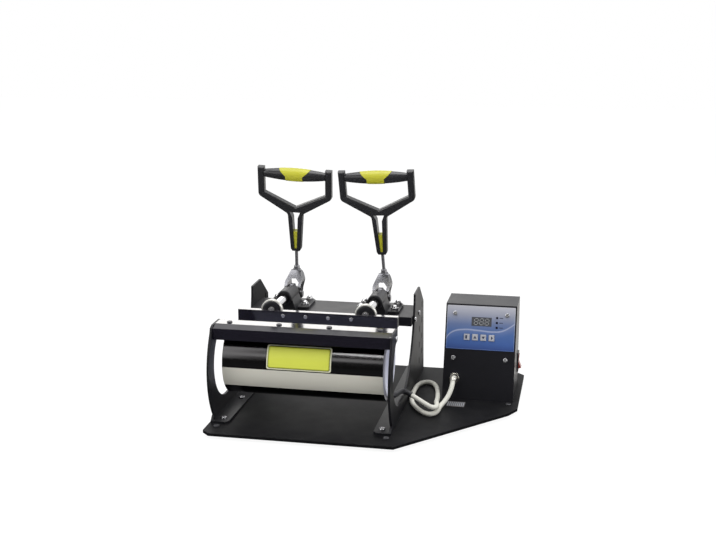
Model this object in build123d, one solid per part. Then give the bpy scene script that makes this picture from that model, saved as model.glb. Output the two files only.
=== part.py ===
"""Heat press for straight tumblers: a bench machine with a black sheet-metal frame,
a steel-jacketed heater wrap that closes round the tumbler, two toggle clamps with
D-handles that drive the rear half of the wrap, and a sloping control box.

Frame: origin at the bottom centre of the base's footprint, +X to the right along the
tumbler, +Y to the back, +Z up. The model stands as photographed: wrap closed.
"""
import os
from math import asin, acos, atan2, cos, degrees, hypot, pi, radians, sin, sqrt, tan

from build123d import *

os.makedirs("parts", exist_ok=True)

# Clearances
running = 0.05          # a pin in its hole, on the radius
loose = 0.2             # a screw in a plate, a button in its window
seat_gap = 0.15         # between layers of the wrap
insert_gap = 0.1        # round a filler pressed into a slit

# Base plate and feet
base_length = 412.0
base_depth = 342.0
base_thick = 4.0
foot_height = 5.0
foot_radius = 9.0
corner_cut = 10.6
slant_run = 149.0       # length of front edge given up to the slanted edge
slant_rise = 156.0
shoulder_run = 11.0
shoulder_rise = 22.0
foot_inset = 14.0

# Side plates: heights above the base plate, distances from its front edge
bay_inset = 2.0         # from the left edge of the base to the left plate
bay_width = 252.0       # over both side plates
plate_thick = 3.0
toe_at = 38.0
rim_at = 27.0
rim_height = 68.0
shoulder_at = 44.0
shoulder_height = 126.0
brow_height = 136.0
brow_front = 54.0
brow_back = 84.0
slot_radius = 53.5      # round opening for the wrap
slot_at = 105.0
slot_height = 75.0
trough_end = 156.0
trough_rise_at = 57.0   # the curve up to the upright passes here, past the trough's end
trough_rise = 36.0
upright_front = 246.0
upright_height = 142.5
upright_peak = 289.0
upright_slope_end = 330.0
upright_slope_height = 112.0
upright_foot = 340.0
flange_width = 22.0
flange_screw_inset = 11.6
flange_screws_at = (52.0, 138.0, 300.0)
key_slot_width = 4.0
key_slot_height = 10.0
key_slot_pitch = 25.0
key_slot_columns = ((290.0, 27.0), (314.0, 35.0))   # each column's place and lowest slot

# Heater wrap
wrap_at = 102.0         # axis, from the front edge of the base
wrap_height = 78.0      # axis, above the base plate
wrap_length = 224.0
jacket_radius = 50.0
jacket_thick = 1.0
felt_thick = 6.0
mat_thick = 4.0
mat_overhang = 1.5
seam_gap = 1.0          # between the two halves, at the bottom
label_length = 90.0
label_thick = 0.8
label_left = 49.0       # left end of the plate, from the middle of the wrap
label_start = 140.5
label_sweep = 39.0

# Front bar, fixed between the side plates
bar_sheet = 2.0
front_bar_front = 47.5
front_bar_bend = 62.0
front_bar_back = 83.0
front_bar_drop = 19.0
front_bar_screw_pitch = 70.0

# Rear bar, carried by the plungers
rear_bar_length = 232.0
rear_bar_at = 145.0
rear_bar_depth = 9.0
rear_bar_top = 134.3
rear_bar_height = 27.0
rear_web_height = 16.0
rear_bar_screw_pitch = 33.0

# Clamp shelf between the uprights
shelf_height = 112.0
shelf_sheet = 3.0
shelf_at = 227.0
shelf_depth = 70.0
shelf_drop = 13.6

# Toggle clamps, one on each side of the middle
clamp_spacing = 137.2
plunger_radius = 6.5
plunger_height = 132.4
cap_radius = 15.8
cap_thick = 6.0
barrel_radius = 11.5
barrel_at = 223.0
barrel_length = 46.5
barrel_recess = 2.6     # dished front of the barrel, wider than the plunger by this
web_half = 15.0         # foot of the web under the barrel
pivot_at = 286.0
pivot_height = 124.0
pivot_radius = 3.0
crank_radius = 14.0
crank_rest = 38.0       # degrees forward of upright
crank_swing = 60.0
crank_pin_radius = 2.5
link_length = 24.0
link_thick = 6.0
link_eye = 5.0
link_play = 1.3         # the link's rear eye is this much larger than its pin
link_lift = 2.0         # degrees, sets that eye's middle between its ends of travel
ear_gap = 7.2
ear_thick = 3.6
ear_radius = 8.0
prong_gap = 15.0
prong_thick = 4.0
yoke_waist = 13.2       # half width of the fork's bow, and how high it is above the pivot
yoke_waist_rise = 19.0
yoke_neck = 7.0         # half width where the fork closes under the boss
window_top = 24.0       # crown of the fork's window above the pivot
window_half = 8.6
yoke_top_back = 14.0
yoke_top_rise = 28.4
yoke_top_radius = 6.5
knuckle_radius = 6.2
casting_flange = 4.0
casting_width = 66.0
casting_front = 239.0
casting_back = 291.0
clamp_bolt_inset = 25.5
clamp_bolts_at = (250.0, 281.0)
clamp_bolt_radius = 2.5
clamp_nut_radius = 5.8
clamp_nut_height = 3.6
clamp_dome_radius = 4.4

# Lever rods and D-handles: heights along the rod, from the top of the yoke's boss
boss_back = 17.0
boss_rise = 36.0
lever_lean = 12.0
lever_roll = 2.6
rod_radius = 2.5
collar_height = 5.0
stem_bottom = 31.0
stem_tip = 5.6
stem_foot = 8.2
stem_foot_height = 35.0
stem_head = 11.8
stem_flare = 6.0        # round corner where the stem meets the vee
vee_bottom = 92.5
vee_top = 103.5
slit_bottom = 36.0
slit_top = 96.0
slit_throat = 87.0
slit_half = (8.0, 4.2, 2.0)     # half widths at the top, the throat and the bottom
insert_top = 64.0
arm_outer = 56.6
arm_width = 10.0
arm_bend = 119.8
arm_bend_rise = 5.8     # how much higher the inner bend is than the outer one
arm_bend_radius = 8.0
arm_top = 165.0
handle_depth = 12.4
handle_edge = 3.0
grip_height = 154.6
grip_end_radius = 6.0
grip_mid_radius = 9.6
grip_swell = 0.5        # the yellow middle stands this much proud
grip_pin_radius = 5.0
grip_pin_depth = 5.0
yellow_top = 24.5
yellow_waist = 13.0

# Control box
box_at = 201.7          # front face at the base, from the front edge
box_left = 301.0        # from the left edge of the base
box_width = 103.0
box_height = 134.0
box_lean = 36.3
box_top_depth = 58.8
box_sheet = 1.5
panel_width = 99.0
panel_drop = 2.3        # these drops are measured down the front from its top edge
panel_height = 63.5
panel_thick = 0.6
display_width = 29.0
display_height = 13.0
display_across = 1.0
display_drop = 24.8
lens_radius = 1.6
lens_across = 23.2
lens_pitch = 7.1
lens_first_rise = 6.6
lens_proud = 0.5
button_width = 8.3
button_height = 9.0
button_pitch = 12.0
button_drop = 47.8
button_first = -19.5
button_travel = 1.0
button_proud = 1.2
button_stem = 2.5       # how far a button reaches behind the sheet
panel_screw_across = 37.8
panel_screw_drops = (14.0, 78.8)
panel_screw_radius = 1.8
board_width = 84.0
board_height = 52.0
board_thick = 1.6
board_set_back = 8.0
board_drop = 35.8
inlet_across = 20.0
inlet_height = 32.0
relay_size = (40.0, 24.0, 45.0)
relay_across = 15.0
relay_height = 62.0
gland_across = -34.3
gland_up = 31.0
gland_radius = 7.5
switch_at = 282.0
switch_height = 38.0
rocker_tilt = 9.0

# Heater lead
cable_radius = 3.15
sleeve_radius = 3.6

# Worked out from the sizes above
left = -base_length / 2
front = -base_depth / 2
deck = foot_height + base_thick
bay_x = left + bay_inset + bay_width / 2
inner_x = bay_width / 2 - plate_thick
wrap_y = front + wrap_at
wrap_z = deck + wrap_height
shelf_y = front + shelf_at
shelf_z = deck + shelf_height
plunger_z = deck + plunger_height
pivot_y = front + pivot_at
pivot_z = deck + pivot_height
crank_y = pivot_y - crank_radius * sin(radians(crank_rest))
crank_z = pivot_z + crank_radius * cos(radians(crank_rest))
jaw_travel = crank_radius * (sin(radians(crank_rest)) - sin(radians(crank_rest - crank_swing)))
pad_z = shelf_z + casting_flange
clevis_y = crank_y - sqrt(link_length ** 2 - (crank_z - plunger_z) ** 2)
jaw_face = front + rear_bar_at
flap_y = jaw_face + bar_sheet
clamp_sides = {"left": -1, "right": 1}

made = {}


def keep(name, solid):
    """Remember a finished node and write its file."""
    made[name] = solid
    export_step(solid, f"parts/{name}.step")


def block(x0, x1, y0, y1, z0, z1):
    """A box between two corners."""
    return Pos((x0 + x1) / 2, (y0 + y1) / 2, (z0 + z1) / 2) * Box(abs(x1 - x0), abs(y1 - y0), abs(z1 - z0))


def along_x(x0, x1, face):
    """Push a YZ profile from x0 to x1."""
    return extrude(Plane.YZ.offset(x0) * face, amount=x1 - x0)


def rod_x(x0, x1, y, z, radius):
    """A round bar along X."""
    return Pos((x0 + x1) / 2, y, z) * Rot(Y=90) * Cylinder(radius, x1 - x0)


def rod_y(x, y0, y1, z, radius):
    """A round bar along Y."""
    return Pos(x, (y0 + y1) / 2, z) * Rot(X=90) * Cylinder(radius, y1 - y0)


def rod_z(x, y, z0, z1, radius):
    """A round bar along Z."""
    return Pos(x, y, (z0 + z1) / 2) * Cylinder(radius, z1 - z0)


def polygon(points):
    """A flat face with straight edges."""
    return make_face(Polyline(*points, close=True))


def mitred(points, offset):
    """The open path of points, moved sideways to its left by offset."""
    moved = []
    for i, (x, y) in enumerate(points):
        before = points[max(i - 1, 0)]
        after = points[min(i + 1, len(points) - 1)]
        turns = []
        for a, b in ((before, (x, y)), ((x, y), after)):
            length = hypot(b[0] - a[0], b[1] - a[1])
            if length > 0:
                turns.append((-(b[1] - a[1]) / length, (b[0] - a[0]) / length))
        nx = sum(t[0] for t in turns) / len(turns)
        ny = sum(t[1] for t in turns) / len(turns)
        reach = offset / (nx * nx + ny * ny)
        moved.append((x + nx * reach, y + ny * reach))
    return moved


def folded(points, thick):
    """The profile of a folded sheet whose right-hand face follows points."""
    return polygon(list(points) + mitred(points, thick)[::-1])


def ring_sector(inner, outer, start, sweep):
    """A slice of a flat ring, from angle start through sweep degrees."""
    a0, a1 = radians(start), radians(start + sweep)
    edges = [
        CenterArc((0, 0), outer, start, sweep),
        Line((outer * cos(a1), outer * sin(a1)), (inner * cos(a1), inner * sin(a1))),
        CenterArc((0, 0), inner, start, sweep),
        Line((inner * cos(a0), inner * sin(a0)), (outer * cos(a0), outer * sin(a0))),
    ]
    return make_face(edges)


def hull_of(circles):
    """The face held by a band round several circles, each (x, y, radius)."""
    edges = Sketch() + [Pos(x, y) * Circle(r) for x, y, r in circles]
    return make_hull(edges.edges())


def pan_screw(head_radius, head_height, shaft_radius, length):
    """A pan-head screw: the head stands on Z = 0, the shaft goes down."""
    head = Pos(0, 0, head_height / 2) * Cylinder(head_radius, head_height)
    head = fillet(head.edges().group_by(Axis.Z)[-1], head_height * 0.6)
    slot = Pos(0, 0, head_height) * Box(head_radius * 1.3, head_radius * 0.25, head_height * 0.6)
    return head - slot + Pos(0, 0, -length / 2) * Cylinder(shaft_radius, length)


def hex_nut(across, height, bore):
    """A nut standing on Z = 0."""
    return extrude(RegularPolygon(across / 2, 6, major_radius=False) - Circle(bore), amount=height)


# Base plate and feet
right = -left
back = -front
base_face = polygon([
    (left + corner_cut, front),
    (right - slant_run, front),
    (right - shoulder_run, front + slant_rise),
    (right, front + slant_rise + shoulder_rise),
    (right, back - corner_cut),
    (right - corner_cut, back),
    (left + corner_cut, back),
    (left, back - corner_cut),
    (left, front + corner_cut),
])
foot_places = [
    (left + foot_inset, front + 2 * foot_inset),
    (right - slant_run - foot_inset, front + 2 * foot_inset),
    (right - foot_inset, front + slant_rise + shoulder_rise + foot_inset),
    (right - foot_inset, back - foot_inset),
    (left + bay_inset + plate_thick + flange_width + foot_inset, back - foot_inset),
]
foot_screw_radius = 2.0
base_plate = Pos(0, 0, foot_height) * extrude(base_face, amount=base_thick)
feet = []
foot_screws = []
for x, y in foot_places:
    base_plate -= rod_z(x, y, foot_height, deck, foot_screw_radius + loose)
    foot = Pos(x, y, 0) * Rot(X=180) * Pos(0, 0, -foot_height) * extrude(
        Circle(foot_radius), amount=foot_height, taper=6)
    feet.append(foot - rod_z(x, y, 1.0, foot_height, foot_screw_radius + running))
    foot_screws.append(Pos(x, y, deck)
                       * pan_screw(4.0, 1.8, foot_screw_radius, base_thick + foot_height - 1.5))


# Side plates
def side_profile():
    """The outline of a side plate in YZ."""
    def at(d, h):
        return (front + d, deck + h)

    slot_start = 128.0
    sx = slot_at + slot_radius * cos(radians(slot_start))
    sz = slot_height + slot_radius * sin(radians(slot_start))
    floor = slot_height - slot_radius
    edges = [
        Line(at(toe_at, 0), at(toe_at, plate_thick)),
        Line(at(toe_at, plate_thick), at(toe_at + 8, 10)),
        ThreePointArc(at(toe_at + 8, 10), at(rim_at, rim_height), at(shoulder_at, shoulder_height)),
        Line(at(shoulder_at, shoulder_height), at(shoulder_at + 2.5, brow_height - 3)),
        Line(at(shoulder_at + 2.5, brow_height - 3), at(brow_front, brow_height)),
        Line(at(brow_front, brow_height), at(brow_back, brow_height)),
        Line(at(brow_back, brow_height), at(brow_back, sz + 3)),
        Line(at(brow_back, sz + 3), at(sx, sz)),
        ThreePointArc(at(sx, sz), at(slot_at - slot_radius, slot_height), at(slot_at, floor)),
        Line(at(slot_at, floor), at(trough_end, floor)),
        ThreePointArc(at(trough_end, floor), at(trough_end + trough_rise_at, floor + trough_rise),
                      at(upright_front, upright_height)),
        Line(at(upright_front, upright_height), at(upright_peak, upright_height + 1)),
        Line(at(upright_peak, upright_height + 1), at(upright_slope_end, upright_slope_height)),
        Line(at(upright_slope_end, upright_slope_height), at(upright_foot, 0)),
        Line(at(upright_foot, 0), at(toe_at, 0)),
    ]
    return make_face(edges)


shelf_screws_at = (shelf_at + 16, shelf_at + shelf_depth - 16)
shelf_screw_height = shelf_height - shelf_drop / 2
bar_screw_at = (front_bar_front + front_bar_back) / 2 + 6
bar_screw_height = brow_height - 11
flange_screw_radius = 2.5
frame_screw_radius = 2.0
side_plates = {}
flange_screws = []
frame_screws = []
for name, side in clamp_sides.items():
    outer = bay_x + side * bay_width / 2
    inner = outer - side * plate_thick
    plate = along_x(min(outer, inner), max(outer, inner), side_profile())
    toe = inner - side * flange_width
    flange = block(inner, toe, front + toe_at, front + upright_foot - 1, deck, deck + plate_thick)
    toe_edges = flange.edges().filter_by(Axis.Z).sort_by(Axis.X)
    toe_edges = toe_edges[:2] if side > 0 else toe_edges[2:]
    plate += chamfer(toe_edges, 5)
    for column, lift in key_slot_columns:
        for i in range(4):
            z = deck + lift + i * key_slot_pitch
            key_slot = Rot(0, 0, 90) * SlotOverall(key_slot_height, key_slot_width)
            plate -= along_x(min(outer, inner) - 1, max(outer, inner) + 1, Pos(front + column, z) * key_slot)
    for y in flange_screws_at:
        x = inner - side * flange_screw_inset
        plate -= rod_z(x, front + y, deck - 1, deck + plate_thick + 1, flange_screw_radius + loose)
        base_plate -= rod_z(x, front + y, foot_height, deck, flange_screw_radius + running)
        flange_screws.append(Pos(x, front + y, deck + plate_thick)
                             * pan_screw(4.5, 2.2, flange_screw_radius, plate_thick + base_thick))
    screw_spots = [(bar_screw_at, bar_screw_height)] + [(s, shelf_screw_height) for s in shelf_screws_at]
    for y, h in screw_spots:
        plate -= rod_x(min(outer, inner) - 1, max(outer, inner) + 1, front + y, deck + h,
                       frame_screw_radius + loose)
        frame_screws.append(Pos(outer, front + y, deck + h) * Rot(Y=90 * side)
                            * pan_screw(4.0, 2.0, frame_screw_radius, plate_thick + bar_sheet + 1.5))
    side_plates[name] = plate

# Front bar with end tabs
bar_path = [
    (front + front_bar_back, deck + brow_height - front_bar_drop),
    (front + front_bar_back, deck + brow_height),
    (front + front_bar_bend, deck + brow_height),
    (front + front_bar_front, deck + brow_height - 3.2),
    (front + front_bar_front, deck + brow_height - front_bar_drop),
]
front_bar = along_x(bay_x - inner_x, bay_x + inner_x, folded(bar_path, bar_sheet))
bar_screws = []
for side in (-1, 1):
    wall = bay_x + side * inner_x
    tab = block(wall, wall - side * bar_sheet, front + front_bar_front + bar_sheet,
                front + front_bar_back - bar_sheet, deck + brow_height - front_bar_drop + 1,
                deck + brow_height - bar_sheet - 0.4)
    front_bar += tab - rod_x(wall - 3, wall + 3, front + bar_screw_at, deck + bar_screw_height,
                             frame_screw_radius + running)
flap_forward = front + front_bar_back - bar_sheet - 16.0
brow_z = deck + brow_height
bar_screw_y = front + front_bar_back - bar_sheet - 11.0
bar_screw_spots = [bay_x + i * front_bar_screw_pitch for i in (-1.5, -0.5, 0.5, 1.5)]
bar_nut_height = 3.0
for x in bar_screw_spots:
    front_bar -= rod_z(x, bar_screw_y, brow_z - 3, brow_z + 1, frame_screw_radius + loose)
    bar_screws.append(Pos(x, bar_screw_y, brow_z) * pan_screw(3.8, 1.8, frame_screw_radius, 7.0))
    bar_screws.append(Pos(x, bar_screw_y, brow_z - bar_sheet - jacket_thick - bar_nut_height)
                      * hex_nut(7.0, bar_nut_height, frame_screw_radius + running))

# Clamp shelf: top, front and back drops, end tabs
shelf_path = [
    (front + shelf_at, deck + shelf_height - shelf_drop),
    (front + shelf_at, deck + shelf_height),
    (front + shelf_at + shelf_depth, deck + shelf_height),
    (front + shelf_at + shelf_depth, deck + shelf_height - shelf_drop),
]
shelf_path = shelf_path[::-1]
clamp_shelf = along_x(bay_x - inner_x, bay_x + inner_x, folded(shelf_path, shelf_sheet))
for side in (-1, 1):
    wall = bay_x + side * inner_x
    tab = block(wall, wall - side * shelf_sheet, front + shelf_at + shelf_sheet,
                front + shelf_at + shelf_depth - shelf_sheet, deck + shelf_height - shelf_drop,
                deck + shelf_height - shelf_sheet)
    for y in shelf_screws_at:
        tab -= rod_x(wall - 4, wall + 4, front + y, deck + shelf_screw_height, frame_screw_radius + running)
    clamp_shelf += tab


# Heater wrap: steel jacket, felt and silicone mat, in a front and a rear half
def layer(inner, outer, start, sweep, half_length):
    """One layer of the wrap as a curved sheet."""
    face = Pos(wrap_y, wrap_z) * ring_sector(inner, outer, start, sweep)
    return along_x(bay_x - half_length, bay_x + half_length, face)


felt_outer = jacket_radius - jacket_thick - seat_gap
felt_inner = felt_outer - felt_thick
mat_outer = felt_inner - seat_gap
mat_inner = mat_outer - mat_thick
half = wrap_length / 2
seam = degrees(asin(seam_gap / 2 / mat_inner))
front_flap_y = front + front_bar_back - bar_sheet - jacket_thick / 2
front_end = degrees(acos((front_flap_y - wrap_y) / (jacket_radius - jacket_thick / 2)))
rear_end = degrees(acos((flap_y + jacket_thick / 2 - wrap_y) / (jacket_radius - jacket_thick / 2)))

flap_path = [
    (front_flap_y + jacket_thick / 2, wrap_z + (jacket_radius - jacket_thick) * sin(radians(front_end))),
    (front_flap_y + jacket_thick / 2, deck + brow_height - bar_sheet),
    (flap_forward, deck + brow_height - bar_sheet),
]
jacket_front = layer(jacket_radius - jacket_thick, jacket_radius, front_end, 270 - seam - front_end, half)
jacket_front += along_x(bay_x - half, bay_x + half, folded(flap_path, jacket_thick))
for x in bar_screw_spots:
    jacket_front -= rod_z(x, bar_screw_y, brow_z - 6, brow_z, frame_screw_radius + loose)
felt_front = layer(felt_inner, felt_outer, front_end + 4, 266 - seam - front_end, half - 1)
mat_front = layer(mat_inner, mat_outer, front_end + 4, 266 - seam - front_end, half + mat_overhang)

rear_start = -90 + seam
flap_top = deck + rear_bar_top - bar_sheet
jacket_rear = layer(jacket_radius - jacket_thick, jacket_radius, rear_start, rear_end - rear_start, half)
flap_foot = wrap_z + (jacket_radius - jacket_thick) * sin(radians(rear_end))
jacket_rear += block(bay_x - half, bay_x + half, flap_y, flap_y + jacket_thick, flap_foot, flap_top)


def rear_layer(inner, outer, half_length, top):
    """A layer of the rear half: round below, straight where it rises to the bar."""
    round_part = layer(inner, outer, rear_start, rear_end - rear_start, half_length)
    straight = block(bay_x - half_length, bay_x + half_length, wrap_y + inner * cos(radians(rear_end)),
                     wrap_y + outer * cos(radians(rear_end)), wrap_z + inner * sin(radians(rear_end)), top)
    return round_part + straight


rear_layer_top = deck + rear_bar_top - rear_bar_height - 1.0
felt_rear = rear_layer(felt_inner, felt_outer, half - 1, rear_layer_top)
mat_rear = rear_layer(mat_inner, mat_outer, half + mat_overhang, rear_layer_top)

label_face = ring_sector(jacket_radius + running, jacket_radius + label_thick, label_start, label_sweep)
label_x = bay_x - label_left
label_plate = along_x(label_x, label_x + label_length, Pos(wrap_y, wrap_z) * label_face)

# Rear bar and its screws
web_y = jaw_face + rear_bar_depth
rear_path = [
    (web_y, deck + rear_bar_top - rear_web_height),
    (web_y, deck + rear_bar_top),
    (jaw_face, deck + rear_bar_top),
    (jaw_face, deck + rear_bar_top - rear_bar_height),
]
rear_bar = along_x(bay_x - rear_bar_length / 2, bay_x + rear_bar_length / 2, folded(rear_path, bar_sheet))
rear_screws = []
rear_screw_z = deck + rear_bar_top - 6.5
rear_screw_radius = 1.5
for i in (-1.5, -0.5, 0.5, 1.5):
    x = bay_x + i * rear_bar_screw_pitch
    rear_bar -= rod_y(x, jaw_face - 1, jaw_face + 3, rear_screw_z, rear_screw_radius + loose)
    jacket_rear -= rod_y(x, flap_y - 1, flap_y + 3, rear_screw_z, rear_screw_radius + loose)
    rear_screws.append(Pos(x, jaw_face, rear_screw_z) * Rot(X=90) * pan_screw(2.8, 1.5, rear_screw_radius, 5.5))
    rear_screws.append(Pos(x, flap_y + jacket_thick, rear_screw_z) * Rot(X=-90)
                       * hex_nut(5.5, 2.4, rear_screw_radius + running))

# Toggle clamps
barrel_front = front + barrel_at
barrel_back = barrel_front + barrel_length
cap_y = web_y
rod_start = cap_y + cap_thick
rod_end = clevis_y + plunger_radius + 0.5
plunger_caps = []
cap_bolts = []
clevis_pins = []
pivot_pins = []
clamp_bolts = []
prong_half = prong_gap / 2 + prong_thick
for name, side in clamp_sides.items():
    x = bay_x + side * clamp_spacing / 2
    notch = block(x - 7, x + 7, web_y - 5, web_y + 1, plunger_z - 7, deck + rear_bar_top + 1)
    rear_bar -= notch
    cap = rod_y(x, cap_y, rod_start, plunger_z, cap_radius)
    cap = chamfer(cap.edges().filter_by(GeomType.CIRCLE), 0.8)
    cap -= rod_y(x, cap_y - 1, rod_start + 1, plunger_z, 3.0 + running)
    plunger_caps.append(cap)
    bolt = Pos(x, cap_y, plunger_z) * Rot(X=90) * (extrude(RegularPolygon(5.0, 6), amount=3.5)
                                                    + Pos(0, 0, -10) * Cylinder(3.0, 20))
    cap_bolts.append(bolt)
    plunger = rod_y(x, rod_start, rod_end, plunger_z, plunger_radius)
    plunger = chamfer(plunger.edges().filter_by(GeomType.CIRCLE), 0.6)
    plunger -= rod_y(x, rod_start - 1, rod_start + 15, plunger_z, 3.0 + running)
    slot_depth = link_thick / 2 + 0.4
    plunger -= block(x - slot_depth, x + slot_depth, clevis_y - 8, rod_end + 1, plunger_z - 8, plunger_z + 8)
    plunger -= rod_x(x - 8, x + 8, clevis_y, plunger_z, crank_pin_radius + running)
    keep(f"plunger_{name}", plunger)
    clevis_pins.append(rod_x(x - plunger_radius + 0.6, x + plunger_radius - 0.6, clevis_y, plunger_z,
                             crank_pin_radius))

    link_angle = atan2(crank_z - plunger_z, crank_y - clevis_y) + radians(link_lift)
    eye_y = clevis_y + link_length * cos(link_angle)
    eye_z = plunger_z + link_length * sin(link_angle)
    link_face = hull_of([(clevis_y, plunger_z, link_eye), (eye_y, eye_z, link_eye)])
    link_face += Pos(eye_y, eye_z) * Circle(crank_pin_radius + link_play + 2.6)
    link = along_x(x - link_thick / 2, x + link_thick / 2, link_face)
    link -= rod_x(x - 5, x + 5, clevis_y, plunger_z, crank_pin_radius + running)
    link -= rod_x(x - 5, x + 5, eye_y, eye_z, crank_pin_radius + link_play)
    keep(f"link_{name}", link)

    # Casting: arch round the rod, ears for the lever's pin, flange with bolts
    arch = Plane.XZ * hull_of([(x, plunger_z, barrel_radius - 1.5), (x - web_half, shelf_z + 2, 2.0),
                               (x + web_half, shelf_z + 2, 2.0)])
    casting = Pos(0, barrel_back - 1, 0) * extrude(arch, amount=barrel_back - 1 - shelf_y)
    casting += chamfer(rod_y(x, barrel_front, barrel_back, plunger_z, barrel_radius).edges().filter_by(
        GeomType.CIRCLE), 1.0)
    pad = block(x - casting_width / 2, x + casting_width / 2, front + casting_front, front + casting_back,
                shelf_z, pad_z)
    casting += fillet(pad.edges().filter_by(Axis.Z), 6.0)
    ear_face = hull_of([(pivot_y, pivot_z, ear_radius), (pivot_y + 6, shelf_z + 2, 2.0),
                        (pivot_y - 10, shelf_z + 2, 2.0)])
    ear_top = plunger_z - plunger_radius - 1.1
    ear_face += polygon([(barrel_back - 2, shelf_z), (barrel_back - 2, ear_top), (pivot_y - 6, ear_top),
                         (pivot_y - 4, shelf_z)])
    for sign in (-1, 1):
        x0 = x + sign * ear_gap / 2
        x1 = x0 + sign * ear_thick
        casting += along_x(min(x0, x1), max(x0, x1), ear_face)
    casting -= rod_y(x, barrel_front - 1, barrel_back + 1, plunger_z, plunger_radius + running)
    casting -= rod_y(x, barrel_front - 1, barrel_front + 2.5, plunger_z, plunger_radius + barrel_recess)
    casting -= block(x - ear_gap / 2, x + ear_gap / 2, clevis_y - link_eye - 1, barrel_back + 1, plunger_z,
                     plunger_z + barrel_radius + 1)
    casting -= rod_x(x - 10, x + 10, pivot_y, pivot_z, pivot_radius + running)
    for sx in (-1, 1):
        for y in clamp_bolts_at:
            bx = x + sx * clamp_bolt_inset
            by = front + y
            casting -= rod_z(bx, by, shelf_z - 1, pad_z + 1, clamp_bolt_radius + loose)
            clamp_shelf -= rod_z(bx, by, shelf_z - shelf_sheet - 1, shelf_z + 1, clamp_bolt_radius + running)
            nut = extrude(RegularPolygon(clamp_nut_radius, 6), amount=clamp_nut_height)
            nut += Pos(0, 0, clamp_nut_height) * (Sphere(clamp_dome_radius) & Pos(0, 0, 10) * Box(20, 20, 20))
            stud = rod_z(bx, by, shelf_z - shelf_sheet, pad_z + 1, clamp_bolt_radius)
            clamp_bolts.append(Pos(bx, by, pad_z) * nut + stud)
    keep(f"clamp_body_{name}", casting)

    pin = rod_x(x - prong_half - 0.3, x + prong_half + 0.3, pivot_y, pivot_z, pivot_radius)
    for sign in (-1, 1):
        x0 = x + sign * (prong_half + 0.3)
        x1 = x0 + sign * 1.6
        pin += rod_x(min(x0, x1), max(x0, x1), pivot_y, pivot_z, pivot_radius + 2.0)
    pivot_pins.append(pin)

    # Yoke: two prongs joined above, with a boss for the rod
    top_y, top_z = pivot_y + yoke_top_back, pivot_z + yoke_top_rise
    yoke_face = hull_of([(pivot_y, pivot_z, 6.5), (crank_y, crank_z, 5.5), (top_y, top_z, yoke_top_radius)])
    yoke = along_x(x - yoke_waist, x + yoke_waist, yoke_face)
    prongs = [(x + sx * (prong_half - 3), pivot_z + 9, 3.0) for sx in (-1, 1)]
    bow = hull_of(prongs + [(x + sx * (yoke_waist - 8), pivot_z + yoke_waist_rise, 8.0) for sx in (-1, 1)]
                  + [(x, pivot_z + yoke_top_rise + yoke_top_radius, yoke_neck)])
    bow += hull_of(prongs + [(x + sx * (prong_half - 3), pivot_z - 7, 3.0) for sx in (-1, 1)])
    window = polygon([(x - prong_gap / 2, pivot_z - 12), (x + prong_gap / 2, pivot_z - 12),
                      (x + prong_gap / 2, pivot_z + 14), (x + window_half, pivot_z + window_top - 5),
                      (x + 3.0, pivot_z + window_top), (x - 3.0, pivot_z + window_top),
                      (x - window_half, pivot_z + window_top - 5), (x - prong_gap / 2, pivot_z + 14)])
    yoke &= Pos(0, top_y + 20, 0) * extrude(Plane.XZ * bow, amount=80)
    yoke -= Pos(0, top_y + 20, 0) * extrude(Plane.XZ * window, amount=80)
    lever_at = Pos(x, pivot_y + boss_back, pivot_z + boss_rise) * Rot(X=lever_lean) * Rot(Y=-side * lever_roll)
    yoke += lever_at * Pos(0, 0, -4) * (Cylinder(knuckle_radius, 8) & Pos(0, 0, -3) * Sphere(8.6))
    yoke -= lever_at * Pos(0, 0, -3) * Cylinder(rod_radius + running, 6)
    yoke -= rod_x(x - 14, x + 14, pivot_y, pivot_z, pivot_radius + running)
    yoke += rod_x(x - prong_half - 1.2, x + prong_half + 1.2, crank_y, crank_z, crank_pin_radius)
    keep(f"yoke_{name}", yoke)

    # Rod and D-handle, upright in their own frame
    rod = Pos(0, 0, (slit_bottom - 6) / 2) * Cylinder(rod_radius, slit_bottom + 4.5)
    rod += extrude(RegularPolygon(4.6, 6), amount=collar_height)
    keep(f"lever_rod_{name}", lever_at * rod)

    arm_inner = arm_outer - arm_width
    outline = [
        (-arm_outer, arm_top), (-arm_outer, arm_bend), (-stem_head, vee_bottom),
        (-stem_foot, stem_foot_height), (-stem_tip, stem_bottom), (stem_tip, stem_bottom),
        (stem_foot, stem_foot_height), (stem_head, vee_bottom), (arm_outer, arm_bend),
        (arm_outer, arm_top), (arm_inner, arm_top),
        (arm_inner, arm_bend + arm_bend_rise), (0, vee_top), (-arm_inner, arm_bend + arm_bend_rise),
        (-arm_inner, arm_top),
    ]
    slit_head, slit_neck, slit_end = slit_half
    slit = [(-slit_head, slit_top), (slit_head, slit_top), (slit_neck, slit_throat), (slit_end, slit_bottom),
            (-slit_end, slit_bottom), (-slit_neck, slit_throat)]
    frame_solid = extrude(Plane.XZ * polygon(outline), amount=handle_depth / 2, both=True)
    long_edges = frame_solid.edges().filter_by(Axis.Y)
    bends = [e for e in long_edges if abs(abs(e.center().X) - arm_outer) < 1 and e.center().Z < arm_top - 5]
    frame_solid = fillet(bends, arm_bend_radius)
    flares = [e for e in frame_solid.edges().filter_by(Axis.Y)
              if abs(abs(e.center().X) - stem_head) < 1 and abs(e.center().Z - vee_bottom) < 1]
    frame_solid = fillet(flares, stem_flare)
    rim = frame_solid.faces().filter_by(Axis.Y).edges()
    frame_solid = fillet(rim, handle_edge)
    frame_solid -= extrude(Plane.XZ * polygon(slit), amount=handle_depth, both=True)
    frame_solid -= rod_z(0, 0, stem_bottom - 1, slit_bottom + 1, rod_radius + running)
    for sign in (-1, 1):
        seat = sorted((sign * (arm_inner - 1), sign * (arm_inner + grip_pin_depth + 1)))
        frame_solid -= rod_x(*seat, 0, grip_height, grip_pin_radius + running)
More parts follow.
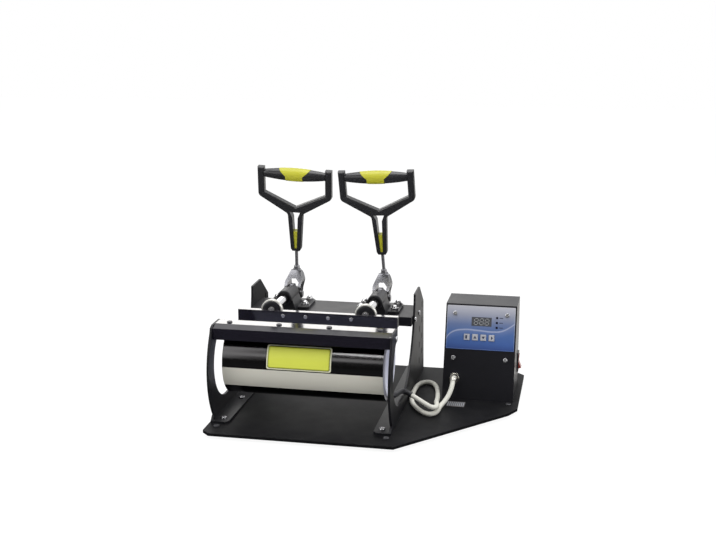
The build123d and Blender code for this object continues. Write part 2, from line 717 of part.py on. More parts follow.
    keep(f"handle_frame_{name}", lever_at * frame_solid)

    insert_share = (insert_top - slit_bottom) / (slit_throat - slit_bottom)
    insert_head = slit_end + (slit_neck - slit_end) * insert_share - insert_gap
    insert_end = slit_end - insert_gap
    insert = polygon([(-insert_head, insert_top), (insert_head, insert_top),
                      (insert_end, slit_bottom + insert_gap), (-insert_end, slit_bottom + insert_gap)])
    insert = extrude(Plane.XZ * insert, amount=handle_depth / 2 - 1.0, both=True)
    keep(f"stem_insert_{name}", lever_at * insert)

    spindles = []
    for swell in (0.0, grip_swell):
        spindle_line = [
            Line((-arm_inner, 0), (-arm_inner, grip_end_radius)),
            ThreePointArc((-arm_inner, grip_end_radius), (0, grip_mid_radius + swell),
                          (arm_inner, grip_end_radius)),
            Line((arm_inner, grip_end_radius), (arm_inner, 0)),
            Line((arm_inner, 0), (-arm_inner, 0)),
        ]
        spindles.append(revolve(Plane.XZ * make_face(spindle_line), Axis.X))
    reach = 2 * grip_mid_radius
    wedge = polygon([(-yellow_waist, -reach), (yellow_waist, -reach), (yellow_waist, 0),
                     (yellow_top, grip_mid_radius), (yellow_top, reach), (-yellow_top, reach),
                     (-yellow_top, grip_mid_radius), (-yellow_waist, 0)])
    wedge = extrude(Plane.XZ * wedge, amount=reach, both=True)
    core = rod_x(-arm_inner - grip_pin_depth, arm_inner + grip_pin_depth, 0, 0, grip_pin_radius)
    grip_yellow = (spindles[1] & wedge) - rod_x(-arm_outer, arm_outer, 0, 0, grip_pin_radius + running)
    grip_core = (spindles[0] - wedge) + core
    keep(f"grip_yellow_{name}", lever_at * Pos(0, 0, grip_height) * grip_yellow)
    keep(f"grip_core_{name}", lever_at * Pos(0, 0, grip_height) * grip_core)

# Control box: a leaning front, a folded shell and a back plate
box_x0 = left + box_left
box_x1 = box_x0 + box_width
box_mid = (box_x0 + box_x1) / 2
box_y = front + box_at
box_back = box_y + box_lean + box_top_depth
box_top = deck + box_height
box_side = [(box_y, deck), (box_y + box_lean, box_top), (box_back, box_top), (box_back, deck)]
outer_block = along_x(box_x0, box_x1, polygon(box_side))
face_tilt = degrees(atan2(box_lean, box_height))
face_length = hypot(box_lean, box_height)
sheet_y = box_sheet / cos(radians(face_tilt))
cavity_side = [
    (box_y + sheet_y, deck),
    (box_y + sheet_y + box_lean - box_sheet * tan(radians(face_tilt)), deck + box_height - box_sheet),
    (box_back, deck + box_height - box_sheet),
    (box_back, deck),
]
box_shell = outer_block - along_x(box_x0 + box_sheet, box_x1 - box_sheet, polygon(cavity_side))
face = Plane(origin=(box_mid, box_y, deck), x_dir=(1, 0, 0),
             z_dir=(0, -cos(radians(face_tilt)), sin(radians(face_tilt))))


def on_face(u, v, w=0.0):
    """A place on the leaning front: across, up along it and out of it."""
    return face.location * Pos(u, v, w)


panel = on_face(0, face_length - panel_drop - panel_height / 2) * extrude(
    Rectangle(panel_width, panel_height), amount=panel_thick)
display_up = face_length - display_drop
window = on_face(display_across, display_up) * Box(display_width, display_height, 20)
panel -= window
box_shell -= window
display_window = on_face(display_across, display_up, -box_sheet) * extrude(
    Rectangle(display_width - loose, display_height - loose), amount=box_sheet + panel_thick - 0.1)
lenses = []
for i in range(3):
    spot = on_face(lens_across, display_up + lens_first_rise - lens_pitch * i)
    panel -= spot * Cylinder(lens_radius + running, 8)
    box_shell -= spot * Cylinder(lens_radius + running, 8)
    lens = spot * Pos(0, 0, (panel_thick + lens_proud - box_sheet) / 2) * Cylinder(
        lens_radius, box_sheet + panel_thick + lens_proud)
    lenses.append(lens)
for i in range(4):
    spot = on_face(button_first + i * button_pitch, face_length - button_drop)
    hole = spot * Box(button_width + 2 * loose, button_height + 2 * loose, 12)
    panel -= hole
    box_shell -= hole
    low = -box_sheet - button_stem
    high = panel_thick + button_proud
    cap = spot * Pos(0, 0, (low + high) / 2) * Box(button_width, button_height, high - low)
    keep(f"button_{i + 1}", chamfer(cap.edges().filter_by(GeomType.LINE).sort_by(
        lambda e: -(face.to_local_coords(e.center()).Z))[:4], 0.5))
panel_screws = []
for drop, proud in zip(panel_screw_drops, (panel_thick, 0)):
    for u in (-panel_screw_across, panel_screw_across):
        spot = on_face(u, face_length - drop)
        box_shell -= spot * Cylinder(panel_screw_radius + running, 8)
        panel -= spot * Cylinder(panel_screw_radius + loose, 8)
        panel_screws.append(spot * Pos(0, 0, proud) * pan_screw(3.2, 1.6, panel_screw_radius, 6))
gland_hole = on_face(gland_across, gland_up) * Cylinder(5.0 + running, 12)
box_shell -= gland_hole
gland = on_face(gland_across, gland_up) * (
    extrude(RegularPolygon(gland_radius, 6), amount=4)
    + Pos(0, 0, 4) * extrude(Circle(gland_radius - 1.2), amount=7, taper=14)
    + Pos(0, 0, -3) * Cylinder(5.0, 6)
    + Pos(0, 0, -box_sheet - 4.5) * extrude(RegularPolygon(7.0, 6), amount=4.5))
gland -= on_face(gland_across, gland_up, 11 - 8) * extrude(Circle(cable_radius + running), amount=8)

# Switch on the right side
switch_y = front + switch_at
switch_z = deck + switch_height
bezel_depth, bezel_height = 18.0, 29.0
body_y, body_z = bezel_depth / 2 - 1.6, bezel_height / 2 - 1.6
cut_y, cut_z = body_y + insert_gap, body_z + insert_gap
box_shell -= block(box_x1 - 4, box_x1 + 1, switch_y - cut_y, switch_y + cut_y,
                   switch_z - cut_z, switch_z + cut_z)
bezel = block(box_x1, box_x1 + 2, switch_y - bezel_depth / 2, switch_y + bezel_depth / 2,
              switch_z - bezel_height / 2, switch_z + bezel_height / 2)
bezel += block(box_x1 - 14, box_x1, switch_y - body_y, switch_y + body_y,
               switch_z - body_z, switch_z + body_z)
well_y, well_z = bezel_depth / 2 - 3.0, bezel_height / 2 - 3.0
bezel -= block(box_x1 - 9, box_x1 + 3, switch_y - well_y, switch_y + well_y,
               switch_z - well_z, switch_z + well_z)
rocker_pivot_x = box_x1 - 1.5
rocker_reach = well_z - 0.6
rocker_face = polygon([(-5.0, -3.0), (-5.0, 3.0), (0.5, rocker_reach), (6.0, rocker_reach - 1.0),
                       (3.6, 0.0), (6.0, -rocker_reach + 1.0), (0.5, -rocker_reach)])
rocker = extrude(Plane.XZ * rocker_face, amount=well_y - 0.3, both=True)
rocker_button = Pos(rocker_pivot_x, switch_y, switch_z) * Rot(Y=-rocker_tilt) * rocker
rocker_axle = rod_y(rocker_pivot_x, switch_y - well_y - 1.2, switch_y + well_y + 1.2, switch_z, 1.2)
rocker_button += rocker_axle
bezel -= rod_y(rocker_pivot_x, switch_y - well_y - 1.4, switch_y + well_y + 1.4, switch_z, 1.2 + running)

# Inside and behind the box
box_back_plate = block(box_x0 + box_sheet + 0.2, box_x1 - box_sheet - 0.2, box_back - box_sheet, box_back,
                       deck, deck + box_height - box_sheet - 0.2)
inlet_x, inlet_z = box_mid - inlet_across, deck + inlet_height


def inlet_block(half_width, half_height, y0, y1):
    """A box about the inlet's middle, between two distances behind the back plate."""
    return block(inlet_x - half_width, inlet_x + half_width, box_back + y0, box_back + y1,
                 inlet_z - half_height, inlet_z + half_height)


box_back_plate -= inlet_block(14.0 + insert_gap, 10.0 + insert_gap, -4, 1)
inlet = inlet_block(14.0, 10.0, -16, 0) + inlet_block(20.0, 12.5, 0, 3) - inlet_block(11.5, 7.5, -13, 4)
for dx, dz in ((-7, -1.5), (0, 2.0), (7, -1.5)):
    inlet += Pos(dx, 0, dz) * inlet_block(1.0, 2.5, -13, -1)
board = on_face(0, face_length - board_drop, -box_sheet - board_set_back)
board *= Box(board_width, board_height, board_thick)
for drop in (panel_screw_drops[0], board_drop + board_height / 2 - 5.0):
    for u in (-panel_screw_across, panel_screw_across):
        post = on_face(u, face_length - drop, -box_sheet)
        board += post * Pos(0, 0, -board_set_back / 2) * Cylinder(3.2, board_set_back)
        board -= post * Pos(0, 0, -3.0) * Cylinder(panel_screw_radius + running, 8)
relay_x = box_mid + relay_across
relay = block(relay_x - relay_size[0] / 2, relay_x + relay_size[0] / 2, box_back - box_sheet - relay_size[1],
              box_back - box_sheet, deck + relay_height, deck + relay_height + relay_size[2])


# Heater lead: white braided cable, then a black shrink sleeve over the side plate's trough
def tube_path(points):
    """Straight runs joined by the largest tangent arcs that the runs allow."""
    vectors = [Vector(*p) for p in points]
    radii = []
    for a, b, c in zip(vectors, vectors[1:], vectors[2:]):
        turn = radians((b - a).get_angle(c - b))
        radii.append(0.45 * min((b - a).length, (c - b).length) / tan(turn / 2))
    return FilletPolyline(*points, radius=radii), radii


def tube(points, radius):
    """A round tube along a path, with its path length."""
    path, radii = tube_path(points)
    start = Plane(origin=path @ 0, z_dir=path % 0)
    solid = sweep(start * Circle(radius), path=path)
    print("tube radii", [round(r, 1) for r in radii], "length", round(path.length, 1),
          "volume ratio", round(solid.volume / (pi * radius ** 2 * path.length), 4))
    return solid


lie = deck + cable_radius + 0.1
over = lie + 2 * cable_radius + 0.6    # where one strand passes over another
mouth = face.from_local_coords((gland_across, gland_up, 11.0))
lead_out = face.from_local_coords((gland_across, gland_up, 17.5))
cable_points = [
    (mouth.X, mouth.Y, mouth.Z),
    (lead_out.X, lead_out.Y, lead_out.Z),
    (111.9, 13.5, deck + 26.2),
    (110.0, 7.5, deck + 19.0),
    (107.0, 1.5, deck + 12.6),
    (102.5, -6.5, deck + 7.0),
    (98.2, -18.0, lie + 0.6),
    (97.5, -31.0, lie),
    (95.8, -42.5, lie),
    (89.0, -50.0, lie),
    (80.0, -46.5, lie),
    (71.5, -35.0, lie),
    (63.3, -22.5, lie),
    (57.3, -8.0, lie),
    (53.6, 9.0, lie),
    (52.0, 29.0, lie),
    (51.9, 50.0, lie),
    (53.0, 69.0, lie),
    (58.0, 83.5, lie),
    (67.0, 89.5, lie),
    (76.0, 83.0, lie),
    (82.5, 67.5, lie),
    (86.6, 48.0, lie),
    (89.3, 28.0, lie),
    (90.8, 9.0, lie + 0.4),
    (91.6, -7.0, lie + 3.2),
    (94.0, -21.0, over),
    (96.4, -34.0, over + 0.8),
    (96.6, -44.5, over + 1.8),
    (90.5, -50.0, over + 3.0),
    (81.8, -43.5, over + 4.8),
    (73.6, -37.2, over + 6.9),
    (66.2, -31.9, over + 9.0),
    (60.0, -28.0, over + 11.0),
]
lead_end = Vector(*cable_points[-1])
lead_on = lead_end + (lead_end - Vector(*cable_points[-2])) * 0.8
wrap_end = bay_x + half + mat_overhang
sleeve_points = [
    (lead_end.X, lead_end.Y, lead_end.Z),
    (lead_on.X, lead_on.Y, lead_on.Z),
    (49.2, -25.2, over + 15.0),
    (45.6, -29.6, over + 17.0),
    (44.4, -37.0, over + 18.8),
    (43.9, -47.5, over + 20.8),
    (43.4, -59.0, over + 23.0),
    (43.2, -69.0, over + 25.0),
    (41.4, -77.5, over + 26.4),
    (wrap_end, -80.0, over + 26.4),
]
heater_cable = tube(cable_points, cable_radius)
lead_sleeve = tube(sleeve_points, sleeve_radius)
lead_sleeve -= block(wrap_end - 10, wrap_end, front, back, 0, base_depth)

keep("base_plate", base_plate)
keep("rubber_feet", Compound(children=feet))
keep("foot_screws", Compound(children=foot_screws))
for name, plate in side_plates.items():
    keep(f"side_plate_{name}", plate)
keep("flange_screws", Compound(children=flange_screws))
keep("frame_screws", Compound(children=frame_screws))
keep("front_bar", front_bar)
keep("front_bar_screws", Compound(children=bar_screws))
keep("clamp_shelf", clamp_shelf)
keep("clamp_bolts", Compound(children=clamp_bolts))
keep("jacket_front", jacket_front)
keep("felt_front", felt_front)
keep("mat_front", mat_front)
keep("label_plate", label_plate)
keep("jacket_rear", jacket_rear)
keep("felt_rear", felt_rear)
keep("mat_rear", mat_rear)
keep("rear_bar", rear_bar)
keep("rear_bar_screws", Compound(children=rear_screws))
keep("plunger_caps", Compound(children=plunger_caps))
keep("plunger_bolts", Compound(children=cap_bolts))
keep("pivot_pins", Compound(children=pivot_pins))
keep("clevis_pins", Compound(children=clevis_pins))
keep("box_shell", box_shell)
keep("box_back_plate", box_back_plate)
keep("overlay_panel", panel)
keep("display_window", display_window)
keep("led_lenses", Compound(children=lenses))
keep("panel_screws", Compound(children=panel_screws))
keep("cable_gland", gland)
keep("switch_bezel", bezel)
keep("rocker_button", rocker_button)
keep("power_inlet", inlet)
keep("control_board", board)
keep("relay_block", relay)
keep("lead_sleeve", lead_sleeve)
keep("heater_cable", heater_cable)
print(len(made), "nodes; jaw travel", round(jaw_travel, 3), "mm")
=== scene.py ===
"""Looks of the tumbler heat press: finishes, soft wrap layers, lead, small marks, studio.

Lengths are in metres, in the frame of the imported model: +X along the tumbler, +Y to the
back, +Z up, origin on the surface under the middle of the base.
"""

import logging
from collections.abc import Callable
from dataclasses import dataclass, field
from enum import Enum
from math import asin, atan2, cos, degrees, pi, radians, sin, sqrt

import bpy
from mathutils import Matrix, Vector


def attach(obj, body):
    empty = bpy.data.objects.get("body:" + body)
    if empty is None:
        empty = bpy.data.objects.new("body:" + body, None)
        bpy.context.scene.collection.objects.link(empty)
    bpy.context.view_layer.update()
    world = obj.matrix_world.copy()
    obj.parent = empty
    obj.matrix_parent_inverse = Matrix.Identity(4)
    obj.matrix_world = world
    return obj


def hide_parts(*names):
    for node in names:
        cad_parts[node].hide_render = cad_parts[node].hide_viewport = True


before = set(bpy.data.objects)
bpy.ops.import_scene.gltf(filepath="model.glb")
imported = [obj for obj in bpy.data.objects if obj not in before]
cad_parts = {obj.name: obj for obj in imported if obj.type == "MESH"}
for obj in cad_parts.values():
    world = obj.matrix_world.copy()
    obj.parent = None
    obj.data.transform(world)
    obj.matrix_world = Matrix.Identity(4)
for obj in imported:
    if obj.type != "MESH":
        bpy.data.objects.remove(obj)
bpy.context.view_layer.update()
log = logging.getLogger("heat_press")
MM = 0.001
Colour = tuple[float, float, float]
Point = tuple[float, float, float]
FlatPoint = tuple[float, float]
Face = tuple[int, ...]
Socket = bpy.types.NodeSocket
FLOAT_SOCKET = "NodeSocketFloat"


class Grain(Enum):
    """Relief that a finish carries."""

    POWDER = "powder"
    BRUSHED = "brushed"
    MOULDED = "moulded"
    CLOTH = "cloth"
    PLAIN = "plain"


class Graph:
    """Short calls for building a node tree."""

    def __init__(self, tree: bpy.types.NodeTree) -> None:
        """Keep the tree that nodes are added to."""
        self.tree = tree

    def add(self, kind: str, inputs: dict | None = None, **settings) -> bpy.types.Node:
        """Add a node.

        Args:
            kind: Blender's type name, without its ShaderNode prefix.
            inputs: socket name or number to a value or to another node's output.
            settings: properties of the node.

        Returns:
            The new node.
        """
        node = self.tree.nodes.new("ShaderNode" + kind)
        for name, value in settings.items():
            setattr(node, name, value)
        for name, value in (inputs or {}).items():
            self.feed(node.inputs[name], value)
        return node

    def feed(self, socket: Socket, value: float | tuple | Socket) -> None:
        """Link an output to a socket, or set the socket's own value.

        Args:
            socket: the input socket.
            value: another node's output, or a plain value.
        """
        if isinstance(value, Socket):
            self.tree.links.new(value, socket)
        else:
            socket.default_value = value

    def place(self) -> Socket:
        """The object's own coordinates."""
        return self.add("TexCoord").outputs["Object"]

    def math(self, operation: str, a: float | Socket, b: float | Socket = 0.0,
             clamp: bool = False) -> Socket:
        """One step of arithmetic on two values, as an output socket."""
        return self.add("Math", {0: a, 1: b}, operation=operation, use_clamp=clamp).outputs[0]

    def rise(self, value: Socket, low: float | Socket, high: float | Socket) -> Socket:
        """A value that goes straight from 0 at the low end to 1 at the high end."""
        node = self.add("MapRange", {"Value": value, "From Min": low, "From Max": high})
        return node.outputs[0]

    def mix(self, factor: float | Socket, a: Colour | Socket, b: Colour | Socket) -> Socket:
        """Mix two colours.

        Args:
            factor: share of the second colour.
            a: first colour.
            b: second colour.

        Returns:
            The mixed colour's output socket.
        """
        node = self.add("Mix", data_type="RGBA")
        for name, kind, value in (("Factor", "VALUE", factor), ("A", "RGBA", a), ("B", "RGBA", b)):
            socket = next(s for s in node.inputs if s.name == name and s.type == kind)
            self.feed(socket, (*value, 1.0) if isinstance(value, tuple) else value)
        return next(s for s in node.outputs if s.type == "RGBA")


def effect_group(name: str, inputs: dict[str, float], outputs: tuple[str, ...]) -> tuple:
    """Start a shader node group whose sockets are all numbers.

    Args:
        name: name of the group.
        inputs: input names with their default values.
        outputs: output names.

    Returns:
        The group's tree, its Graph, its input sockets and its output sockets.
    """
    tree = bpy.data.node_groups.new(name, "ShaderNodeTree")
    for label, value in inputs.items():
        socket = tree.interface.new_socket(label, in_out="INPUT", socket_type=FLOAT_SOCKET)
        socket.default_value = value
    for label in outputs:
        tree.interface.new_socket(label, in_out="OUTPUT", socket_type=FLOAT_SOCKET)
    entry, leave = tree.nodes.new("NodeGroupInput"), tree.nodes.new("NodeGroupOutput")
    return tree, Graph(tree), entry.outputs, leave.inputs


def grain_group() -> bpy.types.NodeTree:
    """Fine relief and slow tone changes; Stretch draws the relief out along X.

    Returns:
        The group's tree.
    """
    tree, graph, given, out = effect_group(
        "fine_grain", {"Scale": 1000.0, "Stretch": 1.0, "Patches": 18.0}, ("Height", "Tone"))
    place = graph.place()
    shape = graph.add("CombineXYZ", {0: given["Stretch"], 1: 1.0, 2: 1.0}).outputs[0]
    drawn = graph.add("VectorMath", {0: place, 1: shape}, operation="MULTIPLY").outputs[0]
    fine = graph.add("TexNoise", {"Vector": drawn, "Scale": given["Scale"], "Detail": 3.0})
    slow = graph.add("TexNoise", {"Vector": place, "Scale": given["Patches"], "Detail": 4.0})
    graph.feed(out["Height"], fine.outputs[0])
    graph.feed(out["Tone"], slow.outputs[0])
    return tree


def wear_group() -> bpy.types.NodeTree:
    """A broken mask along sharp edges.

    Returns:
        The group's tree.
    """
    tree, graph, given, out = effect_group(
        "edge_wear", {"Width": 0.0006, "Breakup": 160.0}, ("Mask",))
    gain = 6.0
    bare_below, whole_above = 0.45, 0.62
    rounded = graph.add("Bevel", {"Radius": given["Width"]}, samples=4).outputs[0]
    true = graph.add("NewGeometry").outputs["Normal"]
    turn = graph.add("VectorMath", {0: rounded, 1: true}, operation="DOT_PRODUCT").outputs["Value"]
    edge = graph.math("MULTIPLY", graph.math("SUBTRACT", 1.0, turn), gain, clamp=True)
    noise = graph.add(
        "TexNoise", {"Vector": graph.place(), "Scale": given["Breakup"], "Detail": 5.0})
    broken = graph.rise(noise.outputs[0], bare_below, whole_above)
    graph.feed(out["Mask"], graph.math("MULTIPLY", edge, broken))
    return tree


def dust_group() -> bpy.types.NodeTree:
    """A faint mask of dust on faces that look up.

    Returns:
        The group's tree.
    """
    tree, graph, given, out = effect_group("settled_dust", {"Amount": 0.1}, ("Mask",))
    falloff = 3.0
    clear_below, full_above = 0.35, 0.75
    normal = graph.add("NewGeometry").outputs["Normal"]
    lift = graph.add("SeparateXYZ", {0: normal}).outputs[2]
    up = graph.math("POWER", graph.math("MAXIMUM", lift, 0.0), falloff)
    noise = graph.add("TexNoise", {"Vector": graph.place(), "Scale": 45.0, "Detail": 8.0})
    cloudy = graph.rise(noise.outputs[0], clear_below, full_above)
    share = graph.math("MULTIPLY", graph.math("MULTIPLY", up, cloudy), given["Amount"])
    graph.feed(out["Mask"], share)
    return tree


def weave_group() -> bpy.types.NodeTree:
    """Small raised threads.

    Returns:
        The group's tree.
    """
    tree, graph, given, out = effect_group("cloth_weave", {"Scale": 900.0}, ("Height",))
    threads = graph.add("TexVoronoi", {"Vector": graph.place(), "Scale": given["Scale"]})
    graph.feed(out["Height"], threads.outputs["Distance"])
    return tree


FILM_WAVE = (
    (0.0, 0.24), (0.10, 0.40), (0.26, 0.455), (0.46, 0.447), (0.70, 0.43), (0.81, 0.455),
    (0.93, 0.555), (1.0, 0.64),
)


def wave_group() -> bpy.types.NodeTree:
    """The height over a printed film, its one light wave and the glow under the wave.

    Returns:
        The group's tree.
    """
    tree, graph, given, out = effect_group(
        "film_wave", {"Low": 0.0, "High": 1.0, "Left": 0.0, "Right": 1.0},
        ("Rise", "Line", "Glow"))
    line_edge, line_heart = 0.024, 0.008
    glow_depth = 0.16
    split = graph.add("SeparateXYZ", {0: graph.place()})
    rise = graph.rise(split.outputs[2], given["Low"], given["High"])
    along = graph.rise(split.outputs[0], given["Left"], given["Right"])
    curve = graph.add("FloatCurve", {1: along})
    points = curve.mapping.curves[0].points
    while len(points) < len(FILM_WAVE):
        points.new(0.5, 0.5)
    for point, at in zip(points, FILM_WAVE):
        point.location = at
    curve.mapping.update()
    gap = graph.math("SUBTRACT", rise, curve.outputs[0])
    glow = graph.rise(gap, -glow_depth, 0.0)
    graph.feed(out["Rise"], rise)
    graph.feed(out["Line"], graph.rise(graph.math("ABSOLUTE", gap), line_edge, line_heart))
    graph.feed(out["Glow"], graph.math("MULTIPLY", glow, graph.math("LESS_THAN", gap, 0.0)))
    return tree


GROUPS = {
    "grain": grain_group(), "wear": wear_group(), "dust": dust_group(), "weave": weave_group(),
    "wave": wave_group(),
}
COAT_ROUGHNESS = 0.08
BRUSHED_STRETCH = 0.02
BUMP_STRENGTH = 0.7
GLOSS_SPREAD = (0.88, 1.15)
DUST_COLOUR = (0.45, 0.44, 0.42)


@dataclass(frozen=True)
class Finish:
    """A surface finish: colour, gloss, relief and the marks of use."""

    name: str
    colour: Colour
    roughness: float
    grain: Grain = Grain.POWDER
    metallic: float = 0.0
    specular: float = 0.5
    coat: float = 0.0
    grain_scale: float = 1400.0
    grain_depth: float = 0.00003
    tone: float = 0.12
    wear: float = 0.25
    wear_colour: Colour = (0.16, 0.16, 0.17)
    wear_reach: float = 1.5
    dust: float = 0.06
    edge: float = 0.0004
    print_and_reflection_share: float = 0.85

    def effect(self, graph: Graph, group: str, inputs: dict[str, float]) -> bpy.types.Node:
        """Place one of the shared effect groups in a material.

        Args:
            graph: the material's node tree.
            group: its key in GROUPS.
            inputs: this material's own values.

        Returns:
            The group's node.
        """
        node = graph.add("Group", node_tree=GROUPS[group])
        for name, value in inputs.items():
            graph.feed(node.inputs[name], value)
        return node

    def base_colour(self, graph: Graph) -> Socket | None:
        """The colour before tone, wear and dust, where it changes over the surface."""
        return None

    def metal(self, graph: Graph) -> Socket | None:
        """Where the surface is metallic, if that changes over it."""
        return None

    def surface_colour(self, graph: Graph, grain: bpy.types.Node) -> Socket:
        """The colour with its tone, wear and dust.

        Args:
            graph: the material's node tree.
            grain: the grain group's node.

        Returns:
            The colour's output socket.
        """
        base = self.base_colour(graph)
        low = tuple(c * (1 - self.tone) for c in self.colour)
        high = tuple(min(c * (1 + self.tone), 1.0) for c in self.colour)
        toned = graph.mix(grain.outputs["Tone"], low, high)
        if base is not None:
            # base is the print on the film and a painted reflection on the jacket.
            toned = graph.mix(self.print_and_reflection_share, toned, base)
        mask = self.effect(graph, "wear", {"Width": self.edge * self.wear_reach}).outputs["Mask"]
        worn = graph.mix(graph.math("MULTIPLY", mask, self.wear), toned, self.wear_colour)
        dust = self.effect(graph, "dust", {"Amount": self.dust})
        return graph.mix(dust.outputs["Mask"], worn, DUST_COLOUR)

    def surface_normal(self, graph: Graph, grain: bpy.types.Node) -> Socket:
        """Rounded edges with the relief on them.

        Args:
            graph: the material's node tree.
            grain: the grain group's node.

        Returns:
            The normal's output socket.
        """
        rounded = graph.add("Bevel", {"Radius": self.edge}, samples=6).outputs[0]
        height = grain.outputs["Height"]
        if self.grain is Grain.CLOTH:
            weave = self.effect(graph, "weave", {}).outputs["Height"]
            height = graph.math("ADD", weave, height)
        return graph.add("Bump", {
            "Strength": BUMP_STRENGTH, "Distance": self.grain_depth, "Height": height,
            "Normal": rounded,
        }).outputs[0]

    def build(self) -> bpy.types.Material:
        """Make the material, or return the one made before under this name.

        Returns:
            The material.
        """
        if self.name in bpy.data.materials:
            return bpy.data.materials[self.name]
        material = bpy.data.materials.new(self.name)
        material.use_nodes = True
        graph = Graph(material.node_tree)
        sockets = material.node_tree.nodes["Principled BSDF"].inputs
        sockets["Metallic"].default_value = self.metallic
        sockets["Specular IOR Level"].default_value = self.specular
        sockets["Coat Weight"].default_value = self.coat
        sockets["Coat Roughness"].default_value = COAT_ROUGHNESS
        stretch = BRUSHED_STRETCH if self.grain is Grain.BRUSHED else 1.0
        grain = self.effect(graph, "grain", {"Scale": self.grain_scale, "Stretch": stretch})
        graph.feed(sockets["Base Color"], self.surface_colour(graph, grain))
        gloss = graph.add("MapRange", {
            "Value": grain.outputs["Tone"],
            "To Min": self.roughness * GLOSS_SPREAD[0],
            "To Max": min(self.roughness * GLOSS_SPREAD[1], 1.0),
        })
        graph.feed(sockets["Roughness"], gloss.outputs[0])
        graph.feed(sockets["Normal"], self.surface_normal(graph, grain))
        metal = self.metal(graph)
        if metal is not None:
            graph.feed(sockets["Metallic"], metal)
        return material


@dataclass(frozen=True)
class JacketFinish(Finish):
    """Polished sheet with a painted reflection: a bright, partly diffuse strip along its lower
    front.
    """

    # Bounds and colour of the painted reflection strip on the jacket's lower front.
    reflection_strip_top: float = 0.0860
    reflection_strip_bottom: float = 0.0578
    reflection_strip_blend: float = 0.0003
    reflection_strip_front_of: float = -0.069
    reflection_diffuse_share: float = 0.85
    painted_reflection_colour: Colour = (0.86, 0.84, 0.74)

    def base_colour(self, graph: Graph) -> Socket:
        """Painted reflection: bright in the strip and dark outside it."""
        return graph.mix(self.painted_reflection_mask(graph), self.colour, self.painted_reflection_colour)

    def metal(self, graph: Graph) -> Socket:
        """Full metal outside the painted reflection strip, partly diffuse inside it so that it
        shows bright.
        """
        reflection_diffuse_amount = graph.math("MULTIPLY", self.painted_reflection_mask(graph), self.reflection_diffuse_share)
        return graph.math("SUBTRACT", 1.0, reflection_diffuse_amount)

    def painted_reflection_mask(self, graph: Graph) -> Socket:
        """A mask of the painted reflection strip.

        Args:
            graph: the material's node tree.

        Returns:
            An output socket that is 1 inside the strip.
        """
        split = graph.add("SeparateXYZ", {0: graph.place()})
        blend = self.reflection_strip_blend
        above = graph.rise(split.outputs[2], self.reflection_strip_bottom - blend, self.reflection_strip_bottom + blend)
        below = graph.rise(split.outputs[2], self.reflection_strip_top + blend, self.reflection_strip_top - blend)
        front = graph.math("LESS_THAN", split.outputs[1], self.reflection_strip_front_of)
        return graph.math("MULTIPLY", graph.math("MULTIPLY", above, below), front)


@dataclass(frozen=True)
class FilmFinish(Finish):
    """Printed film: pale grey at the top, deep blue at the bottom, with one light wave."""

    low: float = 0.0795
    high: float = 0.1407
    left: float = 0.097
    width: float = 0.099
    stops: tuple[tuple[float, Colour], ...] = (
        (0.0, (0.03, 0.07, 0.25)), (0.14, (0.05, 0.125, 0.38)), (0.36, (0.075, 0.16, 0.40)),
        (0.58, (0.15, 0.21, 0.38)), (0.8, (0.38, 0.40, 0.47)), (1.0, (0.60, 0.60, 0.63)),
    )
    glow_colour: Colour = (0.45, 0.5, 0.7)
    glow_share: float = 0.14
    line_colour: Colour = (0.62, 0.66, 0.80)
    line_share: float = 0.55

    def base_colour(self, graph: Graph) -> Socket:
        """The print's colours by height, with the wave over them.

        Args:
            graph: the material's node tree.

        Returns:
            The colour's output socket.
        """
        ends = {"Low": self.low, "High": self.high, "Left": self.left,
                "Right": self.left + self.width}
        wave = self.effect(graph, "wave", ends).outputs
        ramp = graph.add("ValToRGB", {0: wave["Rise"]})
        elements = ramp.color_ramp.elements
        while len(elements) < len(self.stops):
            elements.new(0.5)
        for element, (position, colour) in zip(elements, self.stops):
            element.position = position
            element.color = (*colour, 1.0)
        glow = graph.math("MULTIPLY", wave["Glow"], self.glow_share)
        lit = graph.mix(glow, ramp.outputs[0], self.glow_colour)
        line = graph.math("MULTIPLY", wave["Line"], self.line_share)
        return graph.mix(line, lit, self.line_colour)


BLACK_COAT = Finish("black_powder_coat", (0.010, 0.010, 0.014), 0.42, specular=0.4,
                    grain_depth=0.00005, wear=0.3)
PLATE_COAT = Finish("plate_powder_coat", (0.009, 0.009, 0.012), 0.42, specular=0.36,
                    grain_depth=0.00005, wear=0.3, dust=0.01)
BOX_COAT = Finish("box_powder_coat", (0.010, 0.010, 0.014), 0.42, specular=0.3, coat=0.22,
                  grain_depth=0.00005, wear=0.3, dust=0.03)
BASE_COAT = Finish("base_powder_coat", (0.0065, 0.0065, 0.008), 0.52, specular=0.12,
                   grain_depth=0.00005, wear=0.25, dust=0.018)
BAR_COAT = Finish("gloss_black_coat", (0.010, 0.009, 0.016), 0.13, coat=0.6,
                  grain_depth=0.000008, wear=0.1, edge=0.0012)
BLACK_CAST = Finish("black_casting_paint", (0.014, 0.014, 0.017), 0.38, grain_scale=700.0,
                    grain_depth=0.00008, wear=0.4)
BLACK_SCREW = Finish("blackened_screw", (0.10, 0.10, 0.11), 0.42, metallic=0.8, wear=0.7,
                     wear_colour=(0.5, 0.5, 0.5))
BRIGHT_SCREW = Finish("zinc_screw", (0.66, 0.66, 0.68), 0.24, metallic=0.8, wear=0.2,
                      wear_colour=(0.85, 0.85, 0.85))
SOCKET_SCREW = Finish("socket_screw", (0.5, 0.5, 0.52), 0.26, metallic=1.0, wear=0.4,
                      wear_colour=(0.8, 0.8, 0.8))
CHROME = Finish("bright_chrome", (0.84, 0.84, 0.85), 0.14, Grain.BRUSHED, metallic=1.0,
                grain_depth=0.000006, tone=0.05, wear=0.1, wear_colour=(0.9, 0.9, 0.9), dust=0.02)
